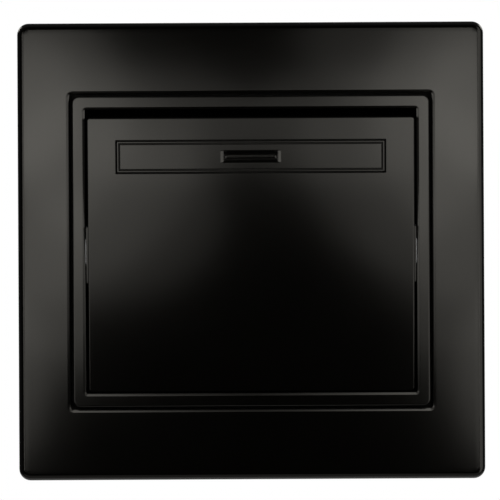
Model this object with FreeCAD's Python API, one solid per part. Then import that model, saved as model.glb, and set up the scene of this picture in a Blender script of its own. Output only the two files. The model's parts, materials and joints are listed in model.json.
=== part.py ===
import FreeCAD, Part
import math
import os

# Intermediate (crossover) light switch for a round 60 mm wall box, in millimetres.
# x is to the right, z is up, and y runs into the wall. The wall plane is y = 0, so every part that
# shows lies at negative y. The origin is the middle between the two wall box screws.
# The rocker is drawn at rest with its upper half out and its lower half pressed in.

V = FreeCAD.Vector
X_AXIS = V(1, 0, 0)
Y_AXIS = V(0, 1, 0)
Z_AXIS = V(0, 0, 1)
SIDES = {"left": -1, "right": 1}

# A cutter runs PAST the face it opens, and pieces of one moulding run INTO each other before they are fused
PAST = 1.0
INTO = 0.5

# Outer frame
FRAME_WIDTH = 81.0
FRAME_HEIGHT = 79.4
FRAME_FRONT = -9.6
FRAME_CORNER = 2.0
FRAME_EDGE_ROUND = 1.2
FRAME_WALL = 2.2
FRAME_FACE_THICKNESS = 1.8
OPENING_WIDTH = 62.95
OPENING_HEIGHT = 54.8
OPENING_EDGE_ROUND = 0.48
LIP_THICKNESS = 1.6
LIP_BACK = -3.6
LEDGE_FRONT = -5.6
LEDGE_BACK = -4.2
LEDGE_REACH = 1.2
FRAME_RIB = 1.0
FRAME_RIB_BACK = -4.2
FRAME_RIB_PITCH_X = 16.0
FRAME_RIB_PITCH_Z = 18.0
FRAME_HOLLOW_CORNER = 1.0
LIP_CORNER = 1.2
OPENING_CORNER = 0.5

# Inner bezel
BEZEL_WIDTH = 61.8
BEZEL_HEIGHT = 53.75
BEZEL_FRONT = -10.8
BEZEL_BAND_BACK = -5.7
BEZEL_CORNER = 1.15
BEZEL_OPENING_WIDTH = 57.45
BEZEL_OPENING_HEIGHT = 49.2
BEZEL_OUTER_ROUND = 0.2
BEZEL_INNER_ROUND = 0.42
BEZEL_WALL = 1.35
BEZEL_NOTCH_HALF = 4.5
BEZEL_NOTCH_DEPTH = 3.8
BEZEL_WALL_CORNER = 0.9
BEZEL_OPENING_CORNER = 0.25
SCREEN_REACH = 2.0
SCREEN_FRONT = -2.0
NOSE_REACH = 0.9
NOSE_FLAT = 0.5
NOSE_PLAY = 0.1

# Support plate of pressed steel, flat on the wall
PLATE_SIZE = 71.0
PLATE_THICKNESS = 1.0
PLATE_CORNER = 5.0
PLATE_OPENING = 38.0
PLATE_OPENING_CORNER = 1.0
CLAW_SCREW_PLAY = 0.2
BOX_SCREW_SPACING = 60.0
SLOT_LENGTH = 8.0
SLOT_HALF_WIDTH = 2.1
LUG_X = 30.3
LUG_Z = 9.0
LUG_HALF = 4.0
LUG_FRONT = -3.9
LUG_WINDOW_HALF = 2.0
LUG_WINDOW_FRONT = -3.3
LUG_WINDOW_BACK = -1.9

# Rocker: drawn square to the wall first, then turned about its pivot to the rest pose
REST_TILT = 4.2
PIVOT_Y = -2.5
KEY_FRONT = -11.5
KEY_WIDTH = 56.5
KEY_HEIGHT = 47.5
KEY_BACK = -4.2
KEY_FLARE = 0.25
KEY_CORNER = 0.5
KEY_EDGE_ROUND = 0.2
KEY_FACE_THICKNESS = 1.8
KEY_WALL = 1.5
KEY_HOLLOW_CORNER = 0.5
KEY_RIB_X = 5.0
KEY_RIB_THICKNESS = 1.2
KEY_RIB_HALF = 11.0
PAD_PROUD = 0.3
PAD_HEIGHT = 9.75
PAD_SET_BACK = 0.25
STRIP_CENTRE_Z = 17.0
RECESS_WIDTH = 46.7
RECESS_HEIGHT = 5.8
RECESS_DEPTH = 1.0
STRIP_GAP = 0.26
STRIP_RIM = 0.26
STRIP_GROOVE = 0.26
STRIP_GROOVE_DEPTH = 0.35
STRIP_RIM_SET_BACK = 0.08
SLOT_WIDTH = 10.4
SLOT_HEIGHT = 2.1
SLOT_BEVEL = 0.4
SLOT_BEVEL_STEEP = 0.28
LENS_WIDTH = 9.2
LENS_HEIGHT = 0.98
LENS_DROP = 0.22
LENS_FLANGE_WIDTH = 11.0
LENS_FLANGE_HEIGHT = 2.6
LENS_SET_BACK = 0.25
LENS_STEM_END = 2.6
LENS_BEAD_ROUND = 0.4
LENS_FLANGE_FRONT = 0.58
LENS_PLAY = 0.15
LENS_BEAD_BACK = 0.8
FLANGE_PLAY = 0.04
STRIP_PEG_X = 17.0
STRIP_PEG_RADIUS = 0.9
STRIP_BACK = 0.98

# Rocker cradle, plungers and their springs
CRADLE_FRONT = -7.0
CRADLE_BACK = -5.4
CRADLE_HALF_WIDTH = 14.6
CRADLE_HALF_HEIGHT = 12.6
CHEEK_THICKNESS = 1.6
CHEEK_HALF = 2.5
WEB_HALF = 0.5
WEB_BACK = -1.5
PIN_RADIUS = 1.5
PIN_CLEARANCE = 0.05
PIN_END_X = 16.9
BARREL_X = 7.5
BARREL_RADIUS = 2.6
BARREL_BORE = 1.9
BARREL_BOTTOM = -4.6
BARREL_MOUTH = 5.0
PLUNGER_RADIUS = 1.84
PLUNGER_REAR = 0.8
PLUNGER_SHOULDER = 6.0
PLUNGER_TIP_RADIUS = 1.2
PLUNGER_TIP_Y = 8.0
PLUNGER_TAPER = 0.8
SPRING_MEAN_RADIUS = 1.4
SPRING_WIRE_RADIUS = 0.2
SPRING_TURNS = 6
SPRING_STEPS = 36
KEY_LEG_X = 9.0
KEY_LEG_WIDTH = 6.0
KEY_LEG_THICKNESS = 1.2
KEY_LEG_END = -4.75
KEY_HOOK = 0.5
KEY_LEG_PLAY = 0.15

# Changeover see-saws and contacts
BRIDGE_RATIO = 2.4
BRIDGE_TILT = REST_TILT * BRIDGE_RATIO
BRIDGE_PIVOT_Y = 10.8
BRIDGE_WIDTH = 4.0
BRIDGE_TOP = 1.58
BRIDGE_STRIP = 0.8
BRIDGE_HALF_LENGTH = 9.6
SADDLE_HALF = 1.75
SADDLE_BACK = 0.25
RIDGE_RADIUS = 0.8
SADDLE_RADIUS = 0.86
CONTACT_Z = 8.3
TIP_RADIUS = 1.2
TIP_HEIGHT = 0.6
CONTACT_GAP = 0.03
DOME_RADIUS = 3.0
HEAD_RADIUS = 1.4
SHANK_RADIUS = 0.7
RIVET_TAIL_RADIUS = 1.0
RIVET_TAIL = 0.5
LINK_FRONT = 13.0
STRIP_METAL = 0.8
LINK_JOG = 2.4
LINK_JOG_HALF = 5.0
LINK_WIDTH = 3.0
PAD_HALF = 2.0
TONGUE_BITE = 1.6
STRAP_HALF = 2.2
STRAP_WEB_HALF = 0.5
STRAP_TONGUE_HALF = 2.0
CARRIER_BACK = 17.6
CARRIER_HALF_WIDTH = 10.0
CARRIER_HALF_HEIGHT = 10.9
CARRIER_PLAY = 0.2
RIVET_WELL_RADIUS = 1.2
RIVET_WELL_DEPTH = 0.8

# Mechanism base and cover
BASE_SIZE = 42.0
BASE_BACK = 22.0
BASE_WALL = 1.5
BASE_CHAMFER = 4.0
BASE_FLOOR = 18.4
BASE_POCKET_FLOOR = 20.0
COLLAR_SIZE = 37.6
COLLAR_CORNER = 1.0
BASE_HOLLOW_FRONT = 1.2
BASE_HOLLOW_CHAMFER = 3.1
COVER_SIZE = 40.6
COVER_FRONT = -3.0
COVER_WINDOW_HALF_X = 14.9
COVER_WINDOW_HALF_Z = 5.5
COVER_CORNER = 1.5
COVER_WINDOW_CORNER = 1.0
EAR_INNER = 15.1
EAR_OUTER = 16.9
EAR_HALF = 2.6
EAR_FRONT = -4.9
EAR_BACK = -0.1
COVER_SCREW_X = 15.2
COVER_SCREW_Z = 8.0
COVER_SCREW_RADIUS = 1.1
COVER_SCREW_HEAD = 2.1
COVER_SCREW_HEAD_HEIGHT = 1.35
COVER_SCREW_END = 7.5
COVER_SCREW_PLAY = 0.15
POST_RADIUS = 2.35
POST_END = 10.8
POST_BORE_END = 8.2
POST_RIB_FRONT = 1.0
POST_RIB_HALF = 0.8
GROOVE_END_GAP = 4.0
CLAW_LUG_FRONT = 0.2
CLAW_LUG_BACK = 4.0
GROOVE_PITCH = 5.0
GROOVE_HALF = 0.6
GROOVE_DEPTH = 0.6
PANEL_WIDTH = 11.0
PANEL_HEIGHT = 30.0
PANEL_DEPTH = 0.5
PANEL_CORNER = 1.0
ARROW_X = 8.4
ARROW_SIZE = 1.3

# Shape of every screw head, as shares of its height
SCREW_SLOT = 0.6
SLOT_DEPTH_SHARE = 0.45
HEAD_ROUND_SHARE = 0.3

# Terminal blocks: a brass block in each corner, wire in from the back, screw from above or below
BLOCK_X = 13.6
BLOCK_Z = 13.4
BLOCK_HALF = 3.5
BLOCK_FRONT = 11.5
BLOCK_PLAY = 0.05
WIRE_BORE = 1.7
WIRE_BORE_DEPTH = 7.0
WIRE_ENTRY = 2.4
WIRE_ENTRY_FLARE = 0.8
TERMINAL_SCREW_Y = 16.0
TERMINAL_SCREW_RADIUS = 1.5
TERMINAL_HEAD_RADIUS = 2.4
TERMINAL_WELL_RADIUS = 2.6
TERMINAL_HEAD_BASE = 17.5
TERMINAL_HEAD_TOP = 19.9

# Spreading claws
CLAW_PIVOT_X = 22.4
CLAW_PIVOT_Y = 2.0
CLAW_PIN_RADIUS = 0.8
CLAW_PIN_CLEARANCE = 0.05
CLAW_REST_ANGLE = 14.3
CLAW_THICKNESS = 1.2
CLAW_HALF_WIDTH = 5.0
CLAW_SLOT_HALF = 2.1
CLAW_SLOT_END = 13.2
CLAW_LENGTH = 17.5
CLAW_TOOTH = 1.4
CLAW_TOOTH_WIDTH = 3.2
CLAW_EAR_RADIUS = 1.3
CLAW_EAR_WIDTH = 1.2
CLAW_TOOTH_LENGTH = 2.4
CLAW_PIN_END = 6.9
CLAW_LUG_INNER = 5.3
CLAW_LUG_OUTER = 7.0
CLAW_LUG_REACH = 24.0
CLAW_SCREW_X = 23.4
CLAW_SCREW_RADIUS = 1.5
CLAW_SCREW_HEAD_RADIUS = 2.7
CLAW_SCREW_HEAD_HEIGHT = 1.8
CLAW_SCREW_END = 18.2
CLAW_NUT_HALF_X = 2.0
CLAW_NUT_HALF_Z = 3.0
CLAW_NUT_FRONT = 14.0
CLAW_NUT_LENGTH = 3.0
CLAW_NUT_PLAY = 0.05

# Indicator lamp behind the window
LAMP_Y = -5.2
LAMP_RADIUS = 1.8
LAMP_HALF_LENGTH = 6.0
LAMP_LEAD_RADIUS = 0.3
LAMP_LEAD_X = 7.8
LAMP_LEAD_END_Y = 13.4
LAMP_LEAD_BEND = 0.8
LAMP_LEAD_BITE = 0.2
LAMP_PLAY = 0.02
HOLDER_HALF_X = 6.4
HOLDER_HALF_Z = 1.9
HOLDER_PLINTH = 0.3
FORK_INNER = 2.6
FORK_OUTER = 3.8


def box(x0, x1, y0, y1, z0, z1):
    """A block between two corners."""
    return Part.makeBox(x1 - x0, y1 - y0, z1 - z0, V(x0, y0, z0))


def side_box(side, x0, x1, y0, y1, z0, z1):
    """A block given for the right side, or its mirror image for the left side."""
    low, high = sorted((side * x0, side * x1))
    return box(low, high, y0, y1, z0, z1)


def rod(radius, start, end):
    """A round bar between two points."""
    axis = end - start
    return Part.makeCylinder(radius, axis.Length, start, axis)


def outline(width, height, corner, y):
    """A closed rectangle with rounded corners, parallel to the wall at depth y."""
    x, z = width / 2, height / 2
    edges = []
    for sx, sz in ((1, 1), (-1, 1), (-1, -1), (1, -1)):
        centre = V(sx * (x - corner), y, sz * (z - corner))
        first = V(sx * corner, 0, 0) if sx == sz else V(0, 0, sz * corner)
        last = V(0, 0, sz * corner) if sx == sz else V(sx * corner, 0, 0)
        middle = (first + last) * (1 / math.sqrt(2))
        edges.append(Part.Arc(centre + first, centre + middle, centre + last).toShape())
    corners = list(edges)
    for i, arc in enumerate(corners):
        after = corners[(i + 1) % 4]
        edges.append(Part.makeLine(arc.lastVertex().Point, after.firstVertex().Point))
    return Part.Wire(Part.__sortEdges__(edges))


def slab(width, height, corner, y0, y1):
    """A plate with rounded corners between two depths."""
    return Part.Face(outline(width, height, corner, y0)).extrude(V(0, y1 - y0, 0))


def chamfered_slab(size, chamfer, y0, y1):
    """A square plate with cut corners between two depths."""
    h, c = size / 2, size / 2 - chamfer
    points = [V(*p) for p in (
        (c, y0, h), (-c, y0, h), (-h, y0, c), (-h, y0, -c),
        (-c, y0, -h), (c, y0, -h), (h, y0, -c), (h, y0, c), (c, y0, h))]
    return Part.Face(Part.makePolygon(points)).extrude(V(0, y1 - y0, 0))


def front_edges(shape, y, inner_width, inner_height, outer):
    """Edges at depth y, either outside the given rectangle or within it."""
    chosen = []
    for edge in shape.Edges:
        bounds = edge.BoundBox
        if abs(bounds.YMin - y) > 0.001 or abs(bounds.YMax - y) > 0.001:
            continue
        centre = edge.CenterOfMass
        outside = abs(centre.x) > inner_width / 2 or abs(centre.z) > inner_height / 2
        if outside == outer:
            chosen.append(edge)
    return chosen


def tilted(shape):
    """Turn a rocker part from square to its rest pose."""
    shape.rotate(V(0, PIVOT_Y, 0), X_AXIS, REST_TILT)
    return shape


def slotted_screw(radius, head_radius, head_height, seat, tip):
    """A screw from its seat under the head to its tip, with a straight driver slot."""
    axis = tip - seat
    axis.normalize()
    head_top = seat - axis * head_height
    screw = rod(head_radius, head_top, seat).fuse(rod(radius, seat, tip))
    rim = [e for e in screw.Edges if on_plane(e, head_top, axis)]
    screw = screw.makeFillet(head_height * HEAD_ROUND_SHARE, rim)
    across = X_AXIS if abs(axis.x) < 0.5 else Z_AXIS
    other = axis.cross(across)
    corner = head_top - across * (head_radius + PAST) - other * (SCREW_SLOT / 2) - axis * PAST
    wide = other * SCREW_SLOT
    deep = axis * (PAST + head_height * SLOT_DEPTH_SHARE)
    profile = [corner, corner + wide, corner + wide + deep, corner + deep, corner]
    cutter = Part.Face(Part.makePolygon(profile)).extrude(across * 2 * (head_radius + PAST))
    return screw.cut(cutter)


def on_plane(edge, point, axis):
    """Whether an edge lies in the plane through a point, square to an axis."""
    return all(abs((v.Point - point).dot(axis)) < 0.001 for v in edge.Vertexes)


def outer_frame():
    """Moulded decor frame: flat face, rounded rim, hollow back with ribs, ledge for the bezel."""
    frame = slab(FRAME_WIDTH, FRAME_HEIGHT, FRAME_CORNER, FRAME_FRONT, 0)
    frame = frame.makeFillet(FRAME_EDGE_ROUND, front_edges(frame, FRAME_FRONT, 1, 1, True))
    face_back = FRAME_FRONT + FRAME_FACE_THICKNESS
    hollow = slab(FRAME_WIDTH - 2 * FRAME_WALL, FRAME_HEIGHT - 2 * FRAME_WALL, FRAME_HOLLOW_CORNER,
                  face_back, PAST)
    frame = frame.cut(hollow)
    lip_width = OPENING_WIDTH + 2 * LIP_THICKNESS
    lip_height = OPENING_HEIGHT + 2 * LIP_THICKNESS
    frame = frame.fuse(slab(lip_width, lip_height, LIP_CORNER, face_back - INTO, LIP_BACK))
    ribs = []
    for sign in (-1, 1):
        for step in (-1.5, -0.5, 0.5, 1.5):
            x = step * FRAME_RIB_PITCH_X
            z0, z1 = sorted((sign * (lip_height / 2 - INTO), sign * (FRAME_HEIGHT / 2 - INTO - PAST)))
            ribs.append(box(x - FRAME_RIB / 2, x + FRAME_RIB / 2, face_back - INTO, FRAME_RIB_BACK, z0, z1))
        for step in (-1, 0, 1):
            z = step * FRAME_RIB_PITCH_Z
            ribs.append(side_box(sign, lip_width / 2 - INTO, FRAME_WIDTH / 2 - INTO - PAST, face_back - INTO,
                                 FRAME_RIB_BACK, z - FRAME_RIB / 2, z + FRAME_RIB / 2))
    frame = frame.fuse(ribs)
    frame = frame.cut(slab(OPENING_WIDTH, OPENING_HEIGHT, OPENING_CORNER, FRAME_FRONT - PAST, LEDGE_FRONT))
    ledge_width = OPENING_WIDTH - 2 * LEDGE_REACH
    ledge_height = OPENING_HEIGHT - 2 * LEDGE_REACH
    frame = frame.cut(slab(ledge_width, ledge_height, OPENING_CORNER, LEDGE_FRONT - PAST, LEDGE_BACK + PAST))
    frame = frame.cut(slab(OPENING_WIDTH, OPENING_HEIGHT, OPENING_CORNER, LEDGE_BACK, LIP_BACK + PAST))
    frame = frame.removeSplitter()
    inner = front_edges(frame, FRAME_FRONT, OPENING_WIDTH + 2, OPENING_HEIGHT + 2, False)
    return frame.makeFillet(OPENING_EDGE_ROUND, inner)


def inner_bezel():
    """Narrow frame round the key: it clamps the outer frame and snaps into the plate's lugs.

    A low screen round the back of its opening keeps the gap beside the key dark.
    """
    wall_width = BEZEL_OPENING_WIDTH + 2 * BEZEL_WALL
    wall_height = BEZEL_OPENING_HEIGHT + 2 * BEZEL_WALL
    bezel = slab(BEZEL_WIDTH, BEZEL_HEIGHT, BEZEL_CORNER, BEZEL_FRONT, BEZEL_BAND_BACK)
    bezel = bezel.fuse(slab(wall_width, wall_height, BEZEL_WALL_CORNER, BEZEL_BAND_BACK, -PLATE_THICKNESS))
    bezel = bezel.cut(slab(BEZEL_OPENING_WIDTH, BEZEL_OPENING_HEIGHT, BEZEL_OPENING_CORNER,
                           BEZEL_FRONT - PAST, 0))
    bezel = bezel.removeSplitter()
    middle_width = (BEZEL_WIDTH + BEZEL_OPENING_WIDTH) / 2
    middle_height = (BEZEL_HEIGHT + BEZEL_OPENING_HEIGHT) / 2
    rim = front_edges(bezel, BEZEL_FRONT, middle_width, middle_height, True)
    bezel = bezel.makeFillet(BEZEL_OUTER_ROUND, rim)
    rim = front_edges(bezel, BEZEL_FRONT, middle_width, middle_height, False)
    bezel = bezel.makeFillet(BEZEL_INNER_ROUND, rim)
    screen = slab(BEZEL_OPENING_WIDTH + 2 * INTO, BEZEL_OPENING_HEIGHT + 2 * INTO, BEZEL_OPENING_CORNER,
                  SCREEN_FRONT, -PLATE_THICKNESS)
    screen = screen.cut(slab(BEZEL_OPENING_WIDTH - 2 * SCREEN_REACH, BEZEL_OPENING_HEIGHT - 2 * SCREEN_REACH,
                             BEZEL_OPENING_CORNER, SCREEN_FRONT - PAST, 0))
    bezel = bezel.fuse(screen).removeSplitter()
    notch_inner = BEZEL_OPENING_WIDTH / 2 - SCREEN_REACH - PAST
    for side in SIDES.values():
        bezel = bezel.cut(side_box(side, notch_inner, wall_width / 2 + PAST,
                                   -PLATE_THICKNESS - BEZEL_NOTCH_DEPTH, 0,
                                   -BEZEL_NOTCH_HALF, BEZEL_NOTCH_HALF))
        for z in (-LUG_Z, LUG_Z):
            bezel = bezel.fuse(clip_nose(side, wall_width / 2, z))
    return bezel.removeSplitter()


def clip_nose(side, x, z):
    """Wedge on the bezel's side wall that snaps into the window of a plate lug."""
    front, back = LUG_WINDOW_FRONT + NOSE_PLAY, LUG_WINDOW_BACK - NOSE_PLAY
    root, tip = side * (x - INTO), side * (x + NOSE_REACH)
    half = LUG_WINDOW_HALF - 2 * NOSE_PLAY
    points = [V(root, front, z - half), V(tip, front, z - half), V(tip, front + NOSE_FLAT, z - half),
              V(root, back, z - half), V(root, front, z - half)]
    return Part.Face(Part.makePolygon(points)).extrude(V(0, 0, 2 * half))


def support_plate():
    """Pressed steel plate on the wall, with four bent lugs that hold the bezel."""
    plate = slab(PLATE_SIZE, PLATE_SIZE, PLATE_CORNER, -PLATE_THICKNESS, 0)
    plate = plate.cut(slab(PLATE_OPENING, PLATE_OPENING, PLATE_OPENING_CORNER, -PLATE_THICKNESS - PAST, PAST))
    reach = SLOT_LENGTH / 2 - SLOT_HALF_WIDTH
    for sign in (-1, 1):
        centre = sign * BOX_SCREW_SPACING / 2
        for along, across in ((X_AXIS, Z_AXIS), (Z_AXIS, X_AXIS)):
            middle = along * centre + V(0, -PLATE_THICKNESS - PAST, 0)
            through = Y_AXIS * (PLATE_THICKNESS + 2 * PAST)
            ends = [rod(SLOT_HALF_WIDTH, middle + along * s * reach, middle + along * s * reach + through)
                    for s in (-1, 1)]
            corner = middle - along * reach - across * SLOT_HALF_WIDTH
            span = along * 2 * reach + across * 2 * SLOT_HALF_WIDTH + through
            plate = plate.cut(Part.makeBox(span.x, span.y, span.z, corner).fuse(ends))
        screw_x = sign * CLAW_SCREW_X
        plate = plate.cut(rod(CLAW_SCREW_RADIUS + CLAW_SCREW_PLAY, V(screw_x, -PLATE_THICKNESS - PAST, 0),
                              V(screw_x, PAST, 0)))
        for z in (-LUG_Z, LUG_Z):
            lug = side_box(sign, LUG_X, LUG_X + PLATE_THICKNESS, LUG_FRONT, -PLATE_THICKNESS / 2,
                           z - LUG_HALF, z + LUG_HALF)
            window = side_box(sign, LUG_X - PAST, LUG_X + PLATE_THICKNESS + PAST, LUG_WINDOW_FRONT,
                              LUG_WINDOW_BACK, z - LUG_WINDOW_HALF, z + LUG_WINDOW_HALF)
            plate = plate.fuse(lug.cut(window))
    return plate.removeSplitter()


def rocker_key():
    """Hollow key with flared side walls, pivot pads, the strip's recess and four snap legs."""
    body = Part.makeLoft([outline(KEY_WIDTH, KEY_HEIGHT, KEY_CORNER, KEY_FRONT),
                          outline(KEY_WIDTH + KEY_FLARE, KEY_HEIGHT + 2 * KEY_FLARE, KEY_CORNER, KEY_BACK)],
                         True, True)
    body = body.makeFillet(KEY_EDGE_ROUND, front_edges(body, KEY_FRONT, 1, 1, True))
    face_back = KEY_FRONT + KEY_FACE_THICKNESS
    body = body.cut(slab(KEY_WIDTH - 2 * KEY_WALL, KEY_HEIGHT - 2 * KEY_WALL, KEY_HOLLOW_CORNER,
                         face_back, KEY_BACK + PAST))
    for side in SIDES.values():
        body = body.fuse(side_box(side, KEY_WIDTH / 2 - INTO, KEY_WIDTH / 2 + PAD_PROUD,
                                  KEY_FRONT + PAD_SET_BACK, KEY_BACK, -PAD_HEIGHT / 2, PAD_HEIGHT / 2))
        body = body.fuse(side_box(side, KEY_RIB_X - KEY_RIB_THICKNESS / 2, KEY_RIB_X + KEY_RIB_THICKNESS / 2,
                                  face_back - INTO, CRADLE_FRONT, -KEY_RIB_HALF, KEY_RIB_HALF))
        for sign in (-1, 1):
            body = body.fuse(key_leg(side * KEY_LEG_X, sign))
    recess = strip_block(RECESS_WIDTH, RECESS_HEIGHT, -PAST, RECESS_DEPTH)
    window = strip_block(LENS_WIDTH + 2 * LENS_PLAY, LENS_HEIGHT + 2 * LENS_PLAY, -PAST,
                         KEY_FACE_THICKNESS + PAST, LENS_DROP)
    body = body.cut([recess, window])
    for side in SIDES.values():
        x = side * STRIP_PEG_X
        body = body.cut(rod(STRIP_PEG_RADIUS + PIN_CLEARANCE, V(x, KEY_FRONT, STRIP_CENTRE_Z),
                            V(x, face_back + PAST, STRIP_CENTRE_Z)))
    return tilted(body.removeSplitter())


def key_leg(x, sign):
    """Snap leg that reaches past the cradle's edge, with a hook behind it."""
    inner = CRADLE_HALF_HEIGHT + KEY_LEG_PLAY
    low, high = sorted((sign * inner, sign * (inner + KEY_LEG_THICKNESS)))
    x0, x1 = x - KEY_LEG_WIDTH / 2, x + KEY_LEG_WIDTH / 2
    leg = box(x0, x1, KEY_FRONT + KEY_FACE_THICKNESS - INTO, KEY_LEG_END, low, high)
    low, high = sorted((sign * (inner - KEY_HOOK), sign * (inner + INTO)))
    return leg.fuse(box(x0, x1, CRADLE_BACK + PIN_CLEARANCE, KEY_LEG_END, low, high))


def strip_block(width, height, depth0, depth1, drop=0):
    """A block between two depths behind the key's face, centred on the label strip or a drop below."""
    z = STRIP_CENTRE_Z - drop
    return box(-width / 2, width / 2, KEY_FRONT + depth0, KEY_FRONT + depth1, z - height / 2, z + height / 2)


def label_strip():
    """Insert in the key's face: raised rim, groove and flat middle with the window's slot."""
    width, height = RECESS_WIDTH - 2 * STRIP_GAP, RECESS_HEIGHT - 2 * STRIP_GAP
    strip = strip_block(width, height, 0, STRIP_BACK)
    inner = 2 * STRIP_RIM
    plateau = inner + 2 * STRIP_GROOVE
    strip = strip.cut(strip_block(width, height, -PAST, STRIP_RIM_SET_BACK).cut(
        strip_block(width - inner, height - inner, -PAST, STRIP_RIM_SET_BACK)))
    strip = strip.cut(strip_block(width - inner, height - inner, -PAST, STRIP_GROOVE_DEPTH).cut(
        strip_block(width - plateau, height - plateau, -PAST, STRIP_GROOVE_DEPTH)))
    half_x, half_z = SLOT_WIDTH / 2, SLOT_HEIGHT / 2
    mouth = rectangle(half_x, half_z, KEY_FRONT)
    throat = rectangle(half_x - SLOT_BEVEL, half_z - SLOT_BEVEL_STEEP, KEY_FRONT + SLOT_BEVEL)
    strip = strip.cut(Part.makeLoft([mouth, throat], True, True))
    strip = strip.cut(strip_block(SLOT_WIDTH - 2 * SLOT_BEVEL, SLOT_HEIGHT - 2 * SLOT_BEVEL_STEEP, -PAST,
                                  RECESS_DEPTH))
    strip = strip.cut(strip_block(LENS_FLANGE_WIDTH + 2 * FLANGE_PLAY, LENS_FLANGE_HEIGHT + 2 * FLANGE_PLAY,
                                  LENS_FLANGE_FRONT - FLANGE_PLAY, RECESS_DEPTH))
    for side in SIDES.values():
        strip = strip.fuse(rod(STRIP_PEG_RADIUS, V(side * STRIP_PEG_X, KEY_FRONT + INTO, STRIP_CENTRE_Z),
                               V(side * STRIP_PEG_X, KEY_FRONT + KEY_FACE_THICKNESS, STRIP_CENTRE_Z)))
    return tilted(strip)


def rectangle(half_x, half_z, y):
    """A closed rectangle round the label strip's centre at depth y."""
    z = STRIP_CENTRE_Z
    return Part.makePolygon([V(-half_x, y, z - half_z), V(half_x, y, z - half_z), V(half_x, y, z + half_z),
                             V(-half_x, y, z + half_z), V(-half_x, y, z - half_z)])


def indicator_lens():
    """Light guide: rounded bead in the slot, flange behind the strip and stem through the key."""
    bead = strip_block(LENS_WIDTH, LENS_HEIGHT, LENS_SET_BACK, LENS_BEAD_BACK, LENS_DROP)
    front_rim = front_edges(bead, KEY_FRONT + LENS_SET_BACK, 1, 1, True)
    bead = bead.makeFillet(LENS_BEAD_ROUND, front_rim)
    flange = strip_block(LENS_FLANGE_WIDTH, LENS_FLANGE_HEIGHT, LENS_FLANGE_FRONT, STRIP_BACK)
    stem = strip_block(LENS_WIDTH, LENS_HEIGHT, LENS_BEAD_BACK - FLANGE_PLAY, LENS_STEM_END, LENS_DROP)
    return tilted(bead.fuse([flange, stem]).removeSplitter())


def rocker_cradle():
    """Carrier under the key: plate, two cheeks with pivot pins and two spring barrels."""
    cradle = box(-CRADLE_HALF_WIDTH, CRADLE_HALF_WIDTH, CRADLE_FRONT, CRADLE_BACK,
                 -CRADLE_HALF_HEIGHT, CRADLE_HALF_HEIGHT)
    parts = []
    for side in SIDES.values():
        parts.append(side_box(side, CRADLE_HALF_WIDTH - CHEEK_THICKNESS, CRADLE_HALF_WIDTH,
                              CRADLE_BACK - INTO, PIVOT_Y, -CHEEK_HALF, CHEEK_HALF))
        parts.append(rod(CHEEK_HALF, V(side * (CRADLE_HALF_WIDTH - CHEEK_THICKNESS), PIVOT_Y, 0),
                         V(side * CRADLE_HALF_WIDTH, PIVOT_Y, 0)))
        parts.append(rod(PIN_RADIUS, V(side * (CRADLE_HALF_WIDTH - INTO), PIVOT_Y, 0),
                         V(side * PIN_END_X, PIVOT_Y, 0)))
        parts.append(rod(BARREL_RADIUS, V(side * BARREL_X, CRADLE_BACK - INTO, 0),
                         V(side * BARREL_X, BARREL_MOUTH, 0)))
        parts.append(side_box(side, BARREL_X, CRADLE_HALF_WIDTH - INTO, CRADLE_BACK - INTO, WEB_BACK,
                              -WEB_HALF, WEB_HALF))
    cradle = cradle.fuse(parts)
    for side in SIDES.values():
        cradle = cradle.cut(rod(BARREL_BORE, V(side * BARREL_X, BARREL_BOTTOM, 0),
                                V(side * BARREL_X, BARREL_MOUTH + PAST, 0)))
    return tilted(cradle.removeSplitter())


def plunger(side):
    """Sliding plunger: round shank, tapered shoulder and ball nose."""
    x = side * BARREL_X
    shoulder = V(x, PLUNGER_SHOULDER, 0)
    shank = rod(PLUNGER_RADIUS, V(x, PLUNGER_REAR, 0), shoulder)
    taper = Part.makeCone(PLUNGER_RADIUS, PLUNGER_TIP_RADIUS, PLUNGER_TAPER, shoulder, Y_AXIS)
    nose = rod(PLUNGER_TIP_RADIUS, shoulder, V(x, PLUNGER_TIP_Y, 0))
    ball = Part.makeSphere(PLUNGER_TIP_RADIUS, V(x, PLUNGER_TIP_Y, 0))
    return tilted(shank.fuse([taper, nose, ball]).removeSplitter())


def arc_between(start, tangent, length, end):
    """The arc that leaves start along tangent and ends at end, given its tangent length."""
    corner = start + tangent * length
    chord_middle = (start + end) * 0.5
    half_chord = (end - start).Length / 2
    height = (corner - chord_middle).Length
    radius = half_chord * length / height
    sagitta = radius - math.sqrt(radius ** 2 - half_chord ** 2)
    middle = chord_middle + (corner - chord_middle) * (sagitta / height)
    return Part.Arc(start, middle, end).toShape()


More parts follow.
